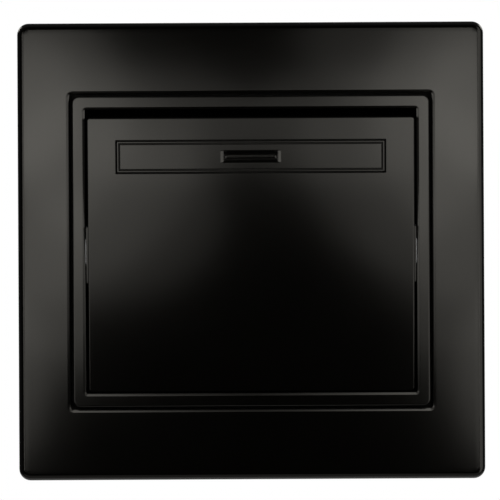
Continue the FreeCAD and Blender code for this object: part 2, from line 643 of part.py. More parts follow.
def plunger_spring(side):
    """Compression spring between the barrel's closed end and the plunger, wound on arcs."""
    first = BARREL_BOTTOM + SPRING_WIRE_RADIUS
    last = PLUNGER_REAR - SPRING_WIRE_RADIUS
    rise = (last - first) / (2 * math.pi * SPRING_TURNS)
    edges = []
    steps = SPRING_TURNS * 4
    turn = 2 * math.pi / 4
    for i in range(steps):
        ends = []
        for angle in (i * turn, (i + 1) * turn):
            point = V(side * BARREL_X + SPRING_MEAN_RADIUS * math.cos(angle), first + rise * angle,
                      SPRING_MEAN_RADIUS * math.sin(angle))
            tangent = V(-SPRING_MEAN_RADIUS * math.sin(angle), rise, SPRING_MEAN_RADIUS * math.cos(angle))
            tangent.normalize()
            ends.append((point, tangent))
        (p0, t0), (p1, t1) = ends
        span, both, bend = p1 - p0, t0 + t1, 1 - t0.dot(t1)
        reach = (math.sqrt(span.dot(both) ** 2 + 2 * bend * span.dot(span)) - span.dot(both)) / (2 * bend)
        joint = (p0 + p1 + (t0 - t1) * reach) * 0.5
        edges.append(arc_between(p0, t0, reach, joint))
        edges.append(arc_between(p1, t1 * -1, reach, joint))
    path = Part.Wire(Part.__sortEdges__(edges))
    start = V(side * BARREL_X + SPRING_MEAN_RADIUS, first, 0)
    section = Part.Wire(Part.makeCircle(SPRING_WIRE_RADIUS, start, V(0, rise, SPRING_MEAN_RADIUS)))
    return tilted(path.makePipeShell([section], True, False))


def bridge_turned(shape):
    """Turn a see-saw part from square to its rest pose, upper contact closed."""
    shape.rotate(V(0, BRIDGE_PIVOT_Y, 0), X_AXIS, -BRIDGE_TILT)
    return shape


def contact_bridge(side):
    """Copper see-saw strip with a saddle that rocks on the common strap's round ridge."""
    x0, x1 = BARREL_X - BRIDGE_WIDTH / 2, BARREL_X + BRIDGE_WIDTH / 2
    top = BRIDGE_PIVOT_Y - BRIDGE_TOP
    strip = side_box(side, x0, x1, top, top + BRIDGE_STRIP, -BRIDGE_HALF_LENGTH, BRIDGE_HALF_LENGTH)
    saddle = side_box(side, x0, x1, top, BRIDGE_PIVOT_Y - SADDLE_BACK, -SADDLE_HALF, SADDLE_HALF)
    bridge = strip.fuse(saddle).removeSplitter()
    groove = rod(SADDLE_RADIUS, V(side * (x0 - PAST), BRIDGE_PIVOT_Y, 0),
                 V(side * (x1 + PAST), BRIDGE_PIVOT_Y, 0))
    return bridge_turned(bridge.cut(groove))


def moving_contacts(side):
    """The two silver tips on the back of a see-saw."""
    top = BRIDGE_PIVOT_Y - BRIDGE_TOP + BRIDGE_STRIP
    tips = [rod(TIP_RADIUS, V(side * BARREL_X, top, z), V(side * BARREL_X, top + TIP_HEIGHT, z))
            for z in (-CONTACT_Z, CONTACT_Z)]
    return bridge_turned(Part.makeCompound(tips))


def contact_place():
    """Height above the pivot and depth of a fixed contact's dome centre, so that it just clears the tip."""
    angle = math.radians(-BRIDGE_TILT)
    face = -BRIDGE_TOP + BRIDGE_STRIP + TIP_HEIGHT
    y = BRIDGE_PIVOT_Y + face * math.cos(angle) - CONTACT_Z * math.sin(angle)
    z = face * math.sin(angle) + CONTACT_Z * math.cos(angle)
    return z, y + (DOME_RADIUS + CONTACT_GAP) / math.cos(angle)


def fixed_contacts(places):
    """Domed contact rivets at the ends of one link."""
    height, dome_y = contact_place()
    rivets = []
    for side, sign in places:
        x, z = side * BARREL_X, sign * height
        dome = Part.makeSphere(DOME_RADIUS, V(x, dome_y, z))
        head = rod(HEAD_RADIUS, V(x, dome_y - DOME_RADIUS - PAST, z), V(x, LINK_FRONT, z)).common(dome)
        shank = rod(SHANK_RADIUS, V(x, LINK_FRONT - INTO, z), V(x, LINK_FRONT + STRIP_METAL, z))
        tail = rod(RIVET_TAIL_RADIUS, V(x, LINK_FRONT + STRIP_METAL, z),
                   V(x, LINK_FRONT + STRIP_METAL + RIVET_TAIL, z))
        rivets.append(head.fuse([shank, tail]).removeSplitter())
    return Part.makeCompound(rivets)


def diagonal_bar(sign, reach0, reach1, width, y0, y1):
    """A bar along the diagonal through the middle, from upper left (sign 1) or lower left (sign -1)."""
    height = contact_place()[0]
    along = V(2 * BARREL_X, 0, -sign * 2 * height)
    along.normalize()
    across = V(-along.z, 0, along.x)
    corner = along * reach0 - across * (width / 2) + V(0, y0, 0)
    points = [corner, corner + along * (reach1 - reach0), corner + along * (reach1 - reach0) + across * width,
              corner + across * width, corner]
    return Part.Face(Part.makePolygon(points)).extrude(V(0, y1 - y0, 0))


def crossover_link(sign, jogged):
    """Copper strip joining a left and a right fixed contact and ending in a right terminal block."""
    height = contact_place()[0]
    y0, y1 = LINK_FRONT, LINK_FRONT + STRIP_METAL
    reach = math.hypot(BARREL_X, height)
    pads = []
    for side, up in ((-1, sign), (1, -sign)):
        pads.append(box(side * BARREL_X - PAD_HALF, side * BARREL_X + PAD_HALF, y0, y1,
                        up * height - PAD_HALF, up * height + PAD_HALF))
    if jogged:
        deep0, deep1 = y0 + LINK_JOG, y1 + LINK_JOG
        step = LINK_JOG_HALF - STRIP_METAL
        bars = [diagonal_bar(sign, -reach, -step, LINK_WIDTH, y0, y1),
                diagonal_bar(sign, step, reach, LINK_WIDTH, y0, y1),
                diagonal_bar(sign, -LINK_JOG_HALF, -step, LINK_WIDTH, y0, deep1),
                diagonal_bar(sign, step, LINK_JOG_HALF, LINK_WIDTH, y0, deep1),
                diagonal_bar(sign, -LINK_JOG_HALF, LINK_JOG_HALF, LINK_WIDTH, deep0, deep1)]
    else:
        bars = [diagonal_bar(sign, -reach, reach, LINK_WIDTH, y0, y1)]
    low, high = sorted((-sign * height, -sign * (BLOCK_Z + INTO)))
    drop = box(BARREL_X - PAD_HALF, BARREL_X + PAD_HALF, y0, y1, low, high)
    low, high = sorted((-sign * (BLOCK_Z - STRAP_HALF), -sign * (BLOCK_Z + INTO)))
    tongue = box(BARREL_X, BLOCK_X - BLOCK_HALF + TONGUE_BITE, y0, y1, low, high)
    link = pads[0].fuse(pads[1:] + bars + [drop, tongue]).removeSplitter()
    holes = [rod(SHANK_RADIUS, V(side * BARREL_X, y0 - PAST, up * height),
                 V(side * BARREL_X, y1 + PAST, up * height))
             for side, up in ((-1, sign), (1, -sign))]
    return link.cut(holes)


def common_strap(side):
    """Copper strap whose standing web ends in the ridge that carries a see-saw."""
    x0, x1 = BARREL_X - STRAP_HALF, BARREL_X + STRAP_HALF
    y0, y1 = CARRIER_BACK, CARRIER_BACK + STRIP_METAL
    ridge = rod(RIDGE_RADIUS, V(side * x0, BRIDGE_PIVOT_Y, 0), V(side * x1, BRIDGE_PIVOT_Y, 0))
    web = side_box(side, x0, x1, BRIDGE_PIVOT_Y + RIDGE_RADIUS / 2, y1, -STRAP_WEB_HALF, STRAP_WEB_HALF)
    sign = -side
    low, high = sorted((-sign * STRAP_TONGUE_HALF, sign * (BLOCK_Z + STRAP_TONGUE_HALF)))
    foot = side_box(side, x0, x1, y0, y1, low, high)
    low, high = sorted((sign * (BLOCK_Z - STRAP_TONGUE_HALF), sign * (BLOCK_Z + STRAP_TONGUE_HALF)))
    end = side * x0 if side < 0 else x1
    tongue = box(-BLOCK_X + BLOCK_HALF - TONGUE_BITE, end, y0, y1, low, high)
    return ridge.fuse([web, foot, tongue]).removeSplitter()


def contact_carrier():
    """Insulating plate between the crossing links and the common straps."""
    height = contact_place()[0]
    front = LINK_FRONT + STRIP_METAL
    carrier = box(-CARRIER_HALF_WIDTH, CARRIER_HALF_WIDTH, front, CARRIER_BACK,
                  -CARRIER_HALF_HEIGHT, CARRIER_HALF_HEIGHT)
    reach = LINK_JOG_HALF + CARRIER_PLAY
    cuts = [diagonal_bar(-1, -reach, reach, LINK_WIDTH + 2 * CARRIER_PLAY, front - PAST,
                         front + LINK_JOG + CARRIER_PLAY / 2)]
    for side in SIDES.values():
        half = STRAP_WEB_HALF + CARRIER_PLAY
        cuts.append(side_box(side, BARREL_X - STRAP_HALF - CARRIER_PLAY, CARRIER_HALF_WIDTH + PAST,
                             front - PAST, CARRIER_BACK + PAST, -half, half))
        for sign in (-1, 1):
            cuts.append(rod(RIVET_WELL_RADIUS, V(side * BARREL_X, front - PAST, sign * height),
                            V(side * BARREL_X, front + RIVET_WELL_DEPTH, sign * height)))
    return carrier.cut(cuts)


def corner_places():
    """The four terminal corners, numbered along the rows from upper left."""
    return [(-1, 1), (1, 1), (-1, -1), (1, -1)]


def wire_hole(side, up, radius, y0, y1):
    """Round hole along the wire's way into a terminal corner."""
    return rod(radius, V(side * BLOCK_X, y0, up * BLOCK_Z), V(side * BLOCK_X, y1, up * BLOCK_Z))


def terminal_block(side, up, metal):
    """Brass block with a wire bore from the back, a screw thread and a seat for its strip."""
    x, z = side * BLOCK_X, up * BLOCK_Z
    back = BASE_POCKET_FLOOR
    block = box(x - BLOCK_HALF, x + BLOCK_HALF, BLOCK_FRONT, back, z - BLOCK_HALF, z + BLOCK_HALF)
    block = block.cut(wire_hole(side, up, WIRE_BORE, back - WIRE_BORE_DEPTH, back + PAST))
    block = block.cut(rod(TERMINAL_SCREW_RADIUS, V(x, TERMINAL_SCREW_Y, z),
                          V(x, TERMINAL_SCREW_Y, z + up * (BLOCK_HALF + PAST))))
    return block.cut(metal)


def terminal_screws():
    """One clamping screw for each block, backed out clear of the wire bore."""
    screws = []
    for side, up in corner_places():
        x = side * BLOCK_X
        seat = V(x, TERMINAL_SCREW_Y, up * TERMINAL_HEAD_BASE)
        tip = V(x, TERMINAL_SCREW_Y, up * (BLOCK_Z + WIRE_BORE))
        screws.append(slotted_screw(TERMINAL_SCREW_RADIUS, TERMINAL_HEAD_RADIUS,
                                    TERMINAL_HEAD_TOP - TERMINAL_HEAD_BASE, seat, tip))
    return Part.makeCompound(screws)


def mechanism_base():
    """Moulded cup: collar through the plate, corner pockets, wire entries, screw posts, claw lugs."""
    base = chamfered_slab(BASE_SIZE, BASE_CHAMFER, 0, BASE_BACK)
    base = base.fuse(slab(COLLAR_SIZE, COLLAR_SIZE, COLLAR_CORNER, -PLATE_THICKNESS, INTO))
    base = base.cut(chamfered_slab(BASE_SIZE - 2 * BASE_WALL, BASE_HOLLOW_CHAMFER,
                                   BASE_HOLLOW_FRONT, BASE_FLOOR))
    inner_collar = COLLAR_SIZE - 2 * BASE_WALL
    base = base.cut(slab(inner_collar, inner_collar, COLLAR_CORNER, -PLATE_THICKNESS - PAST,
                         BASE_HOLLOW_FRONT + INTO))
    adds, cuts = [], []
    for side, up in corner_places():
        x, z = side * BLOCK_X, up * BLOCK_Z
        room = BLOCK_HALF + BLOCK_PLAY
        cuts.append(box(x - room, x + room, BLOCK_FRONT, BASE_POCKET_FLOOR, z - room, z + room))
        cuts.append(wire_hole(side, up, WIRE_ENTRY, BASE_POCKET_FLOOR - PAST, BASE_BACK + PAST))
        cuts.append(Part.makeCone(WIRE_ENTRY, WIRE_ENTRY + WIRE_ENTRY_FLARE, WIRE_ENTRY_FLARE,
                                  V(x, BASE_BACK - WIRE_ENTRY_FLARE, z), Y_AXIS))
        cuts.append(rod(TERMINAL_WELL_RADIUS, V(x, TERMINAL_SCREW_Y, up * (BLOCK_Z + BLOCK_HALF)),
                        V(x, TERMINAL_SCREW_Y, up * (BASE_SIZE / 2 + PAST))))
        post_x, post_z = side * COVER_SCREW_X, up * COVER_SCREW_Z
        adds.append(rod(POST_RADIUS, V(post_x, -PLATE_THICKNESS, post_z), V(post_x, POST_END, post_z)))
        adds.append(side_box(side, COVER_SCREW_X, BASE_SIZE / 2 - INTO, POST_RIB_FRONT, POST_END,
                             post_z - POST_RIB_HALF, post_z + POST_RIB_HALF))
        cuts.append(rod(COVER_SCREW_RADIUS, V(post_x, -PLATE_THICKNESS - PAST, post_z),
                        V(post_x, POST_BORE_END, post_z)))
    for side in SIDES.values():
        for up in (-1, 1):
            low, high = sorted((up * CLAW_LUG_INNER, up * CLAW_LUG_OUTER))
            adds.append(side_box(side, BASE_SIZE / 2 - INTO, CLAW_LUG_REACH, CLAW_LUG_FRONT, CLAW_LUG_BACK,
                                 low, high))
        pivot = V(side * CLAW_PIVOT_X, CLAW_PIVOT_Y, 0)
        beyond = Z_AXIS * (CLAW_LUG_OUTER + PAST)
        cuts.append(rod(CLAW_PIN_RADIUS + CLAW_PIN_CLEARANCE, pivot - beyond, pivot + beyond))
        for x in (-GROOVE_PITCH, 0, GROOVE_PITCH):
            z0, z1 = sorted((side * (BASE_SIZE / 2 - GROOVE_DEPTH), side * (BASE_SIZE / 2 + PAST)))
            cuts.append(box(x - GROOVE_HALF, x + GROOVE_HALF, GROOVE_END_GAP, BASE_BACK - GROOVE_END_GAP,
                            z0, z1))
        for up in (-1, 1):
            cuts.append(flow_arrow(side, up))
    cuts.append(slab(PANEL_WIDTH, PANEL_HEIGHT, PANEL_CORNER, BASE_BACK - PANEL_DEPTH, BASE_BACK + PAST))
    return base.fuse(adds).cut(cuts).removeSplitter()


def flow_arrow(side, up):
    """Small sunk triangle beside a wire entry, pointing the way the current runs."""
    x, z, size = side * ARROW_X, up * BLOCK_Z, ARROW_SIZE
    y = BASE_BACK - PANEL_DEPTH
    points = [V(x - size, y, z - size), V(x + size, y, z), V(x - size, y, z + size), V(x - size, y, z - size)]
    return Part.Face(Part.makePolygon(points)).extrude(V(0, PANEL_DEPTH + PAST, 0))


def mechanism_cover():
    """Front cover: flange on the plate, window for the cradle and two bearing ears."""
    cover = slab(COVER_SIZE, COVER_SIZE, COVER_CORNER, COVER_FRONT, -PLATE_THICKNESS)
    cover = cover.cut(slab(2 * COVER_WINDOW_HALF_X, 2 * COVER_WINDOW_HALF_Z, COVER_WINDOW_CORNER,
                           COVER_FRONT - PAST, 0))
    ears, cuts = [], []
    for side in SIDES.values():
        ears.append(side_box(side, EAR_INNER, EAR_OUTER, EAR_FRONT, EAR_BACK, -EAR_HALF, EAR_HALF))
        cuts.append(rod(PIN_RADIUS + PIN_CLEARANCE, V(side * (EAR_INNER - PAST), PIVOT_Y, 0),
                        V(side * (EAR_OUTER + PAST), PIVOT_Y, 0)))
        cuts.append(rod(2 * LAMP_LEAD_RADIUS, V(side * LAMP_LEAD_X, COVER_FRONT - PAST, STRIP_CENTRE_Z),
                        V(side * LAMP_LEAD_X, 0, STRIP_CENTRE_Z)))
    for side, up in corner_places():
        x, z = side * COVER_SCREW_X, up * COVER_SCREW_Z
        cuts.append(rod(COVER_SCREW_RADIUS + COVER_SCREW_PLAY, V(x, COVER_FRONT - PAST, z), V(x, 0, z)))
    return cover.fuse(ears).cut(cuts).removeSplitter()


def cover_screws():
    """Four screws from the cover into the base's posts."""
    return Part.makeCompound([
        slotted_screw(COVER_SCREW_RADIUS, COVER_SCREW_HEAD, COVER_SCREW_HEAD_HEIGHT,
                      V(side * COVER_SCREW_X, COVER_FRONT, up * COVER_SCREW_Z),
                      V(side * COVER_SCREW_X, COVER_SCREW_END, up * COVER_SCREW_Z))
        for side, up in corner_places()])


def claw(side):
    """Forked steel claw with two pivot pins, a slot round its screw and two biting teeth."""
    t, w = CLAW_THICKNESS, CLAW_HALF_WIDTH
    arm = box(0, t, 0, CLAW_LENGTH, -w, w)
    parts = []
    for up in (-1, 1):
        parts.append(rod(CLAW_EAR_RADIUS, V(0, 0, up * (w - CLAW_EAR_WIDTH)), V(0, 0, up * w)))
        parts.append(rod(CLAW_PIN_RADIUS, V(0, 0, up * (w - CLAW_EAR_WIDTH)), V(0, 0, up * CLAW_PIN_END)))
        z = min(up * w, up * (w - CLAW_TOOTH_WIDTH))
        tooth = [V(t - INTO, CLAW_LENGTH - CLAW_TOOTH_LENGTH, z), V(t, CLAW_LENGTH - CLAW_TOOTH_LENGTH, z),
                 V(t + CLAW_TOOTH, CLAW_LENGTH, z), V(t - INTO, CLAW_LENGTH, z),
                 V(t - INTO, CLAW_LENGTH - CLAW_TOOTH_LENGTH, z)]
        parts.append(Part.Face(Part.makePolygon(tooth)).extrude(V(0, 0, CLAW_TOOTH_WIDTH)))
    arm = arm.fuse(parts)
    slot = box(-CLAW_EAR_RADIUS - PAST, t + PAST, -CLAW_EAR_RADIUS - PAST, CLAW_SLOT_END,
               -CLAW_SLOT_HALF, CLAW_SLOT_HALF)
    arm = arm.cut(slot).removeSplitter()
    arm.rotate(V(0, 0, 0), Z_AXIS, -CLAW_REST_ANGLE)
    if side < 0:
        arm = arm.mirror(V(0, 0, 0), X_AXIS)
    arm.translate(V(side * CLAW_PIVOT_X, CLAW_PIVOT_Y, 0))
    return arm


def claw_nut(side):
    """Square wedge nut that is drawn forward along its screw and spreads the claw."""
    nut = side_box(side, CLAW_SCREW_X - CLAW_NUT_HALF_X, CLAW_SCREW_X + CLAW_NUT_HALF_X, CLAW_NUT_FRONT,
                   CLAW_NUT_FRONT + CLAW_NUT_LENGTH, -CLAW_NUT_HALF_Z, CLAW_NUT_HALF_Z)
    bore = rod(CLAW_SCREW_RADIUS + CLAW_NUT_PLAY, V(side * CLAW_SCREW_X, CLAW_NUT_FRONT - PAST, 0),
               V(side * CLAW_SCREW_X, CLAW_NUT_FRONT + CLAW_NUT_LENGTH + PAST, 0))
    return nut.cut(bore)


def claw_screws():
    """The two screws that draw the claw nuts forward."""
    return Part.makeCompound([
        slotted_screw(CLAW_SCREW_RADIUS, CLAW_SCREW_HEAD_RADIUS, CLAW_SCREW_HEAD_HEIGHT,
                      V(side * CLAW_SCREW_X, -PLATE_THICKNESS, 0), V(side * CLAW_SCREW_X, CLAW_SCREW_END, 0))
        for side in SIDES.values()])


def indicator_lamp():
    """Small glass lamp lying behind the window."""
    z = STRIP_CENTRE_Z
    straight = LAMP_HALF_LENGTH - LAMP_RADIUS
    glass = rod(LAMP_RADIUS, V(-straight, LAMP_Y, z), V(straight, LAMP_Y, z))
    ends = [Part.makeSphere(LAMP_RADIUS, V(side * straight, LAMP_Y, z)) for side in SIDES.values()]
    return glass.fuse(ends).removeSplitter()


def lamp_holder():
    """Moulded cradle on the cover that holds the lamp in two forks."""
    z = STRIP_CENTRE_Z
    holder = box(-HOLDER_HALF_X, HOLDER_HALF_X, COVER_FRONT - HOLDER_PLINTH, COVER_FRONT,
                 z - HOLDER_HALF_Z, z + HOLDER_HALF_Z)
    forks = [side_box(side, FORK_INNER, FORK_OUTER, LAMP_Y, COVER_FRONT, z - HOLDER_HALF_Z, z + HOLDER_HALF_Z)
             for side in SIDES.values()]
    beyond = HOLDER_HALF_X + PAST
    room = rod(LAMP_RADIUS + LAMP_PLAY, V(-beyond, LAMP_Y, z), V(beyond, LAMP_Y, z))
    return holder.fuse(forks).cut(room).removeSplitter()


def lamp_lead(side):
    """Stiff wire from the lamp's end, back through the cover and out to the terminal block."""
    z = STRIP_CENTRE_Z
    points = [V(side * (LAMP_HALF_LENGTH - LAMP_LEAD_BITE), LAMP_Y, z), V(side * LAMP_LEAD_X, LAMP_Y, z),
              V(side * LAMP_LEAD_X, LAMP_LEAD_END_Y, z), V(side * (BLOCK_X - BLOCK_HALF), LAMP_LEAD_END_Y, z)]
    bend = LAMP_LEAD_BEND
    edges = []
    start = points[0]
    for i in (1, 2):
        before = points[i - 1] - points[i]
        after = points[i + 1] - points[i]
        before.normalize()
        after.normalize()
        entry, leave = points[i] + before * bend, points[i] + after * bend
        middle = points[i] + (before + after) * bend * (1 - 1 / math.sqrt(2))
        edges.append(Part.makeLine(start, entry))
        edges.append(Part.Arc(entry, middle, leave).toShape())
        start = leave
    edges.append(Part.makeLine(start, points[3]))
    path = Part.Wire(Part.__sortEdges__(edges))
    section = Part.Wire(Part.makeCircle(LAMP_LEAD_RADIUS, points[0], X_AXIS))
    lead = path.makePipeShell([section], True, False)
    return lead.cut(indicator_lamp())


def all_parts():
    """Every sub-part of the switch by its name."""
    parts = {
        "outer_frame": outer_frame(),
        "inner_bezel": inner_bezel(),
        "support_plate": support_plate(),
        "rocker_key": rocker_key(),
        "label_strip": label_strip(),
        "indicator_lens": indicator_lens(),
        "rocker_cradle": rocker_cradle(),
        "mechanism_base": mechanism_base(),
        "mechanism_cover": mechanism_cover(),
        "cover_screws": cover_screws(),
        "contact_carrier": contact_carrier(),
        "crossover_link_a": crossover_link(1, False),
        "crossover_link_b": crossover_link(-1, True),
        "fixed_contacts_a": fixed_contacts([(-1, 1), (1, -1)]),
        "fixed_contacts_b": fixed_contacts([(-1, -1), (1, 1)]),
        "terminal_screws": terminal_screws(),
        "claw_screws": claw_screws(),
        "lamp_holder": lamp_holder(),
        "indicator_lamp": indicator_lamp(),
    }
    for name, side in SIDES.items():
        parts["plunger_" + name] = plunger(side)
        parts["plunger_spring_" + name] = plunger_spring(side)
        parts["contact_bridge_" + name] = contact_bridge(side)
        parts["moving_contacts_" + name] = moving_contacts(side)
        parts["common_strap_" + name] = common_strap(side)
        parts["claw_" + name] = claw(side)
        parts["claw_nut_" + name] = claw_nut(side)
        parts["lamp_lead_" + name] = lamp_lead(side)
    strips = {(-1, 1): "common_strap_left", (1, 1): "crossover_link_b",
              (-1, -1): "common_strap_right", (1, -1): "crossover_link_a"}
    for number, (side, up) in enumerate(corner_places(), 1):
        parts["terminal_block_%d" % number] = terminal_block(side, up, parts[strips[(side, up)]])
    return parts


def spring_gap():
    """Least gap between neighbouring curls of a plunger spring, measured on points of its centre line."""
    length = PLUNGER_REAR - BARREL_BOTTOM - 2 * SPRING_WIRE_RADIUS
    points = []
    last = SPRING_TURNS * SPRING_STEPS
    for i in range(last + 1):
        angle = 2 * math.pi * i / SPRING_STEPS
        points.append(V(SPRING_MEAN_RADIUS * math.cos(angle), length * i / last,
                        SPRING_MEAN_RADIUS * math.sin(angle)))
    count = len(points)
    apart = SPRING_STEPS // 2
    least = min((points[j] - points[i]).Length for i in range(count) for j in range(i + apart, count))
    return least - 2 * SPRING_WIRE_RADIUS


def main():
    os.makedirs("parts", exist_ok=True)
    for name, shape in all_parts().items():
        shape.exportStep("parts/%s.step" % name)
        print("%-22s solids %d  valid %s  volume %.1f mm3" % (
            name, len(shape.Solids), shape.isValid(), shape.Volume))
    print("least gap between the curls of a spring: %.2f mm" % spring_gap())


main()
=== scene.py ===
import json
import math

import bmesh
import bpy
from mathutils import Matrix, Vector


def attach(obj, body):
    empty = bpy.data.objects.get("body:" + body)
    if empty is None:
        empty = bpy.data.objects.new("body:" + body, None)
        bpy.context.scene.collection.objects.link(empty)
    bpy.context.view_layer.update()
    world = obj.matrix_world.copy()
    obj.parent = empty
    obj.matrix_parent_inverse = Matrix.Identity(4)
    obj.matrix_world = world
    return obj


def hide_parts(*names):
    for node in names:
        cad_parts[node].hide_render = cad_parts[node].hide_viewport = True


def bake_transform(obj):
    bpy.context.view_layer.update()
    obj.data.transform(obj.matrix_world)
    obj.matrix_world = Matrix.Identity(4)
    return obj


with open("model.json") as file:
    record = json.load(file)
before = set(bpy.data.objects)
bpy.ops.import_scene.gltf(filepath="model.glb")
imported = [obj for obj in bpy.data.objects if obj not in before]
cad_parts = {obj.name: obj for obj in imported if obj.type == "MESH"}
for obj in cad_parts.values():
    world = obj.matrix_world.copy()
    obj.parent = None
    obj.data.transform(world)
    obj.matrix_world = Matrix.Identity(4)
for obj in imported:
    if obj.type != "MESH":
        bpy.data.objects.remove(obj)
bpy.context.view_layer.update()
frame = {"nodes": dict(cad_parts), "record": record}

# A flush-mounted intermediate light switch in satin black, seen square on.
# Lengths are in metres, and MM turns millimetres into them. The wall plane is y = 0 and the switch
# faces -y.
MM = 0.001
BODY = "switch_body"
ROCKER = "rocker"
SIDES = {"left": -1, "right": 1}

# Outer frame: sizes over all, then the opening in it
FRAME = (81.0 * MM, 79.4 * MM)
FRAME_CORNER = 2.0 * MM
FRAME_FRONT = -9.6 * MM
FRAME_BACK = -7.8 * MM
FRAME_WALL = 2.2 * MM
FRAME_HOLLOW_CORNER = 1.0 * MM
FRAME_ROUND = 1.2 * MM
OPENING = (62.95 * MM, 54.8 * MM)
OPENING_CORNER = 0.55 * MM
OPENING_SLOPE = (0.48 * MM, 0.14 * MM)
# Inside the opening, faces deeper than this are left matt by the mould
GROOVE_MATT_FROM = -8.9 * MM
LIP = 1.6 * MM
LIP_BACK = -3.6 * MM
LEDGE_REACH = 1.2 * MM
LEDGE_FRONT = -5.6 * MM
LEDGE_BACK = -4.2 * MM
RIB_WIDTH = 1.0 * MM
RIB_BACK = -4.2 * MM
RIB_PITCH_X = 16.0 * MM
RIB_PITCH_Z = 18.0 * MM
RIB_STEPS_X = (-1.5, -0.5, 0.5, 1.5)
RIB_STEPS_Z = (-1, 0, 1)
FRAME_ROUND_STEPS = 10

# Inner bezel
BEZEL = (61.8 * MM, 53.75 * MM)
BEZEL_CORNER = 1.15 * MM
BEZEL_FRONT = -10.8 * MM
BEZEL_BAND_BACK = -5.7 * MM
BEZEL_HOLE = (57.45 * MM, 49.2 * MM)
BEZEL_HOLE_CORNER = 0.3 * MM
BEZEL_OUTER_ROUND = 0.2 * MM
BEZEL_SLOPE = (0.42 * MM, 0.12 * MM)
BEZEL_WALL = 1.35 * MM
BEZEL_BACK = -1.0 * MM
NOTCH_HALF = 4.5 * MM
NOTCH_FRONT = -4.8 * MM
CLIP_Z = 9.0 * MM
CLIP_HALF = 1.8 * MM
CLIP_REACH = 0.9 * MM
CLIP_ROOT = 0.4 * MM
CLIP_FLAT = 0.5 * MM
CLIP_FRONT = -3.2 * MM
CLIP_BACK = -2.0 * MM
SCREEN_REACH = 2.0 * MM
SCREEN_FRONT = -2.0 * MM

# Rocker key, drawn square to the wall and then turned about its pivot
TILT = math.radians(4.2)
PIVOT = Vector((0, -2.5 * MM, 0))
KEY = (56.5 * MM, 47.5 * MM)
KEY_FRONT = -11.5 * MM
KEY_BACK = -4.2 * MM
KEY_FLARE = 0.25 * MM
KEY_CORNER = 0.5 * MM
KEY_ROUND = 0.2 * MM
KEY_WALL = 1.5 * MM
KEY_FACE = 1.8 * MM
PAD_PROUD = 0.3 * MM
PAD_HEIGHT = 9.75 * MM
PAD_SET_BACK = 0.25 * MM
PAD_ROOT = 0.5 * MM
PAD_BEVEL = 0.1 * MM
KEY_RIB = (4.4 * MM, 5.6 * MM)
KEY_RIB_HALF = 11.0 * MM
KEY_RIB_BACK = -7.0 * MM
KEY_LEG_X = 9.0 * MM
KEY_LEG_HALF = 3.0 * MM
KEY_LEG_Z = (12.75 * MM, 13.95 * MM)
KEY_LEG_END = -4.75 * MM
KEY_LEG_BEVEL = 0.08 * MM
KEY_HOOK = 0.5 * MM
KEY_HOOK_ROOT = 0.3 * MM
KEY_HOOK_BEVEL = 0.05 * MM
KEY_HOOK_FRONT = -5.35 * MM
STRIP_Z = 17.0 * MM
RECESS = (46.7 * MM, 5.8 * MM)
RECESS_DEPTH = 1.0 * MM
RECESS_CORNER = 0.15 * MM
STRIP = (46.18 * MM, 5.28 * MM)
STRIP_DEPTH = 0.98 * MM
RIM = 0.26 * MM
RIM_SET_BACK = 0.08 * MM
GROOVE = 0.26 * MM
GROOVE_DEPTH = 0.35 * MM
TINY_ROUND = 0.06 * MM
TINY_STEPS = 3
SLOT = (10.4 * MM, 2.1 * MM)
# The slot's wall: depth, how far its ends and its long sides are drawn in, and how far it is lifted
SLOT_STEPS = ((0.12 * MM, 0.35 * MM, 0.03 * MM, 0.03 * MM),
              (0.18 * MM, 0.52 * MM, 0.15 * MM, 0.11 * MM),
              (0.4 * MM, 0.56 * MM, 0.28 * MM, 0.0))
BEAD = (9.2 * MM, 0.98 * MM)
BEAD_DROP = 0.22 * MM
BEAD_FRONT = 0.25 * MM
BEAD_ROUND = 0.4 * MM
BEAD_STEPS = 8
# Each ring of the bead's round is lifted by this share of its inset, which puts a ridge above the middle
BEAD_LIFT = 0.5
WINDOW = (9.5 * MM, 1.28 * MM)
FLANGE = (11.0 * MM, 2.6 * MM)
FLANGE_FRONT = 0.55 * MM
FLANGE_EDGE = 0.96 * MM
LENS_END = 2.6 * MM

LEAST_CORNER = 0.1 * MM
CORNER_STEPS = 8
ROUND_STEPS = 5

# How rounds and slopes are drawn, as shares of their size: how far a round goes on over the face,
# a slope's foot and the break at it, how softly its top eases in and how far it goes on
ROUND_HOLD = 0.6
SLOPE_FOOT = 0.1
SLOPE_FOOT_BREAK = 0.3
SLOPE_EASE = 0.04
SLOPE_HOLD = 0.1

# Joining of forms: how far one is sunk into the next, how far a cutter goes past, which points
# become one, how near to its depth a floor counts as lying there, and which edges stay sharp
INTO = 0.2 * MM
PAST = 1.0 * MM
MERGE = 0.0005 * MM
LEVEL = 0.02 * MM
SHARP_ANGLE = math.radians(38)

# Patterns of the finishes, in features per metre
WEAR_BREAKS = 700.0
DUST_FLECKS = 2600.0
PLASTIC_BLOTCHES = 90.0
PLASTIC_FLECKS = 1900.0
METAL_CLOUDS = 160.0
METAL_SPECKS = 1500.0
METAL_SCRATCHES = 5200.0
CLEAR_RIPPLES = 900.0
CLEAR_HAZE = 2400.0
FLOOR_CLOUDS = 40.0

# Effects that finishes share: the coarse grain's scale and height beside the fine one's, and the
# roughness that a matt mould and full dust add
GRAIN_COARSER = 0.31
GRAIN_COARSE_HEIGHT = 0.7
MATT_ROUGHNESS = 0.6
DUST_ROUGHNESS = 0.3
DUST_COLOUR = (0.32, 0.3, 0.27, 1.0)

# Plastic: colour's darkest, lightest and rubbed shares, how much of the rub shows, how far gloss
# varies, how much smoother a worn edge is and how far wear reaches
PLASTIC_DARK = 0.86
PLASTIC_LIGHT = 1.12
PLASTIC_RUBBED = 1.5
PLASTIC_RUB_SHOWS = 0.5
PLASTIC_GLOSS_SPREAD = 0.3
PLASTIC_WORN_SMOOTHER = 0.05
PLASTIC_WEAR_REACH = 0.12 * MM

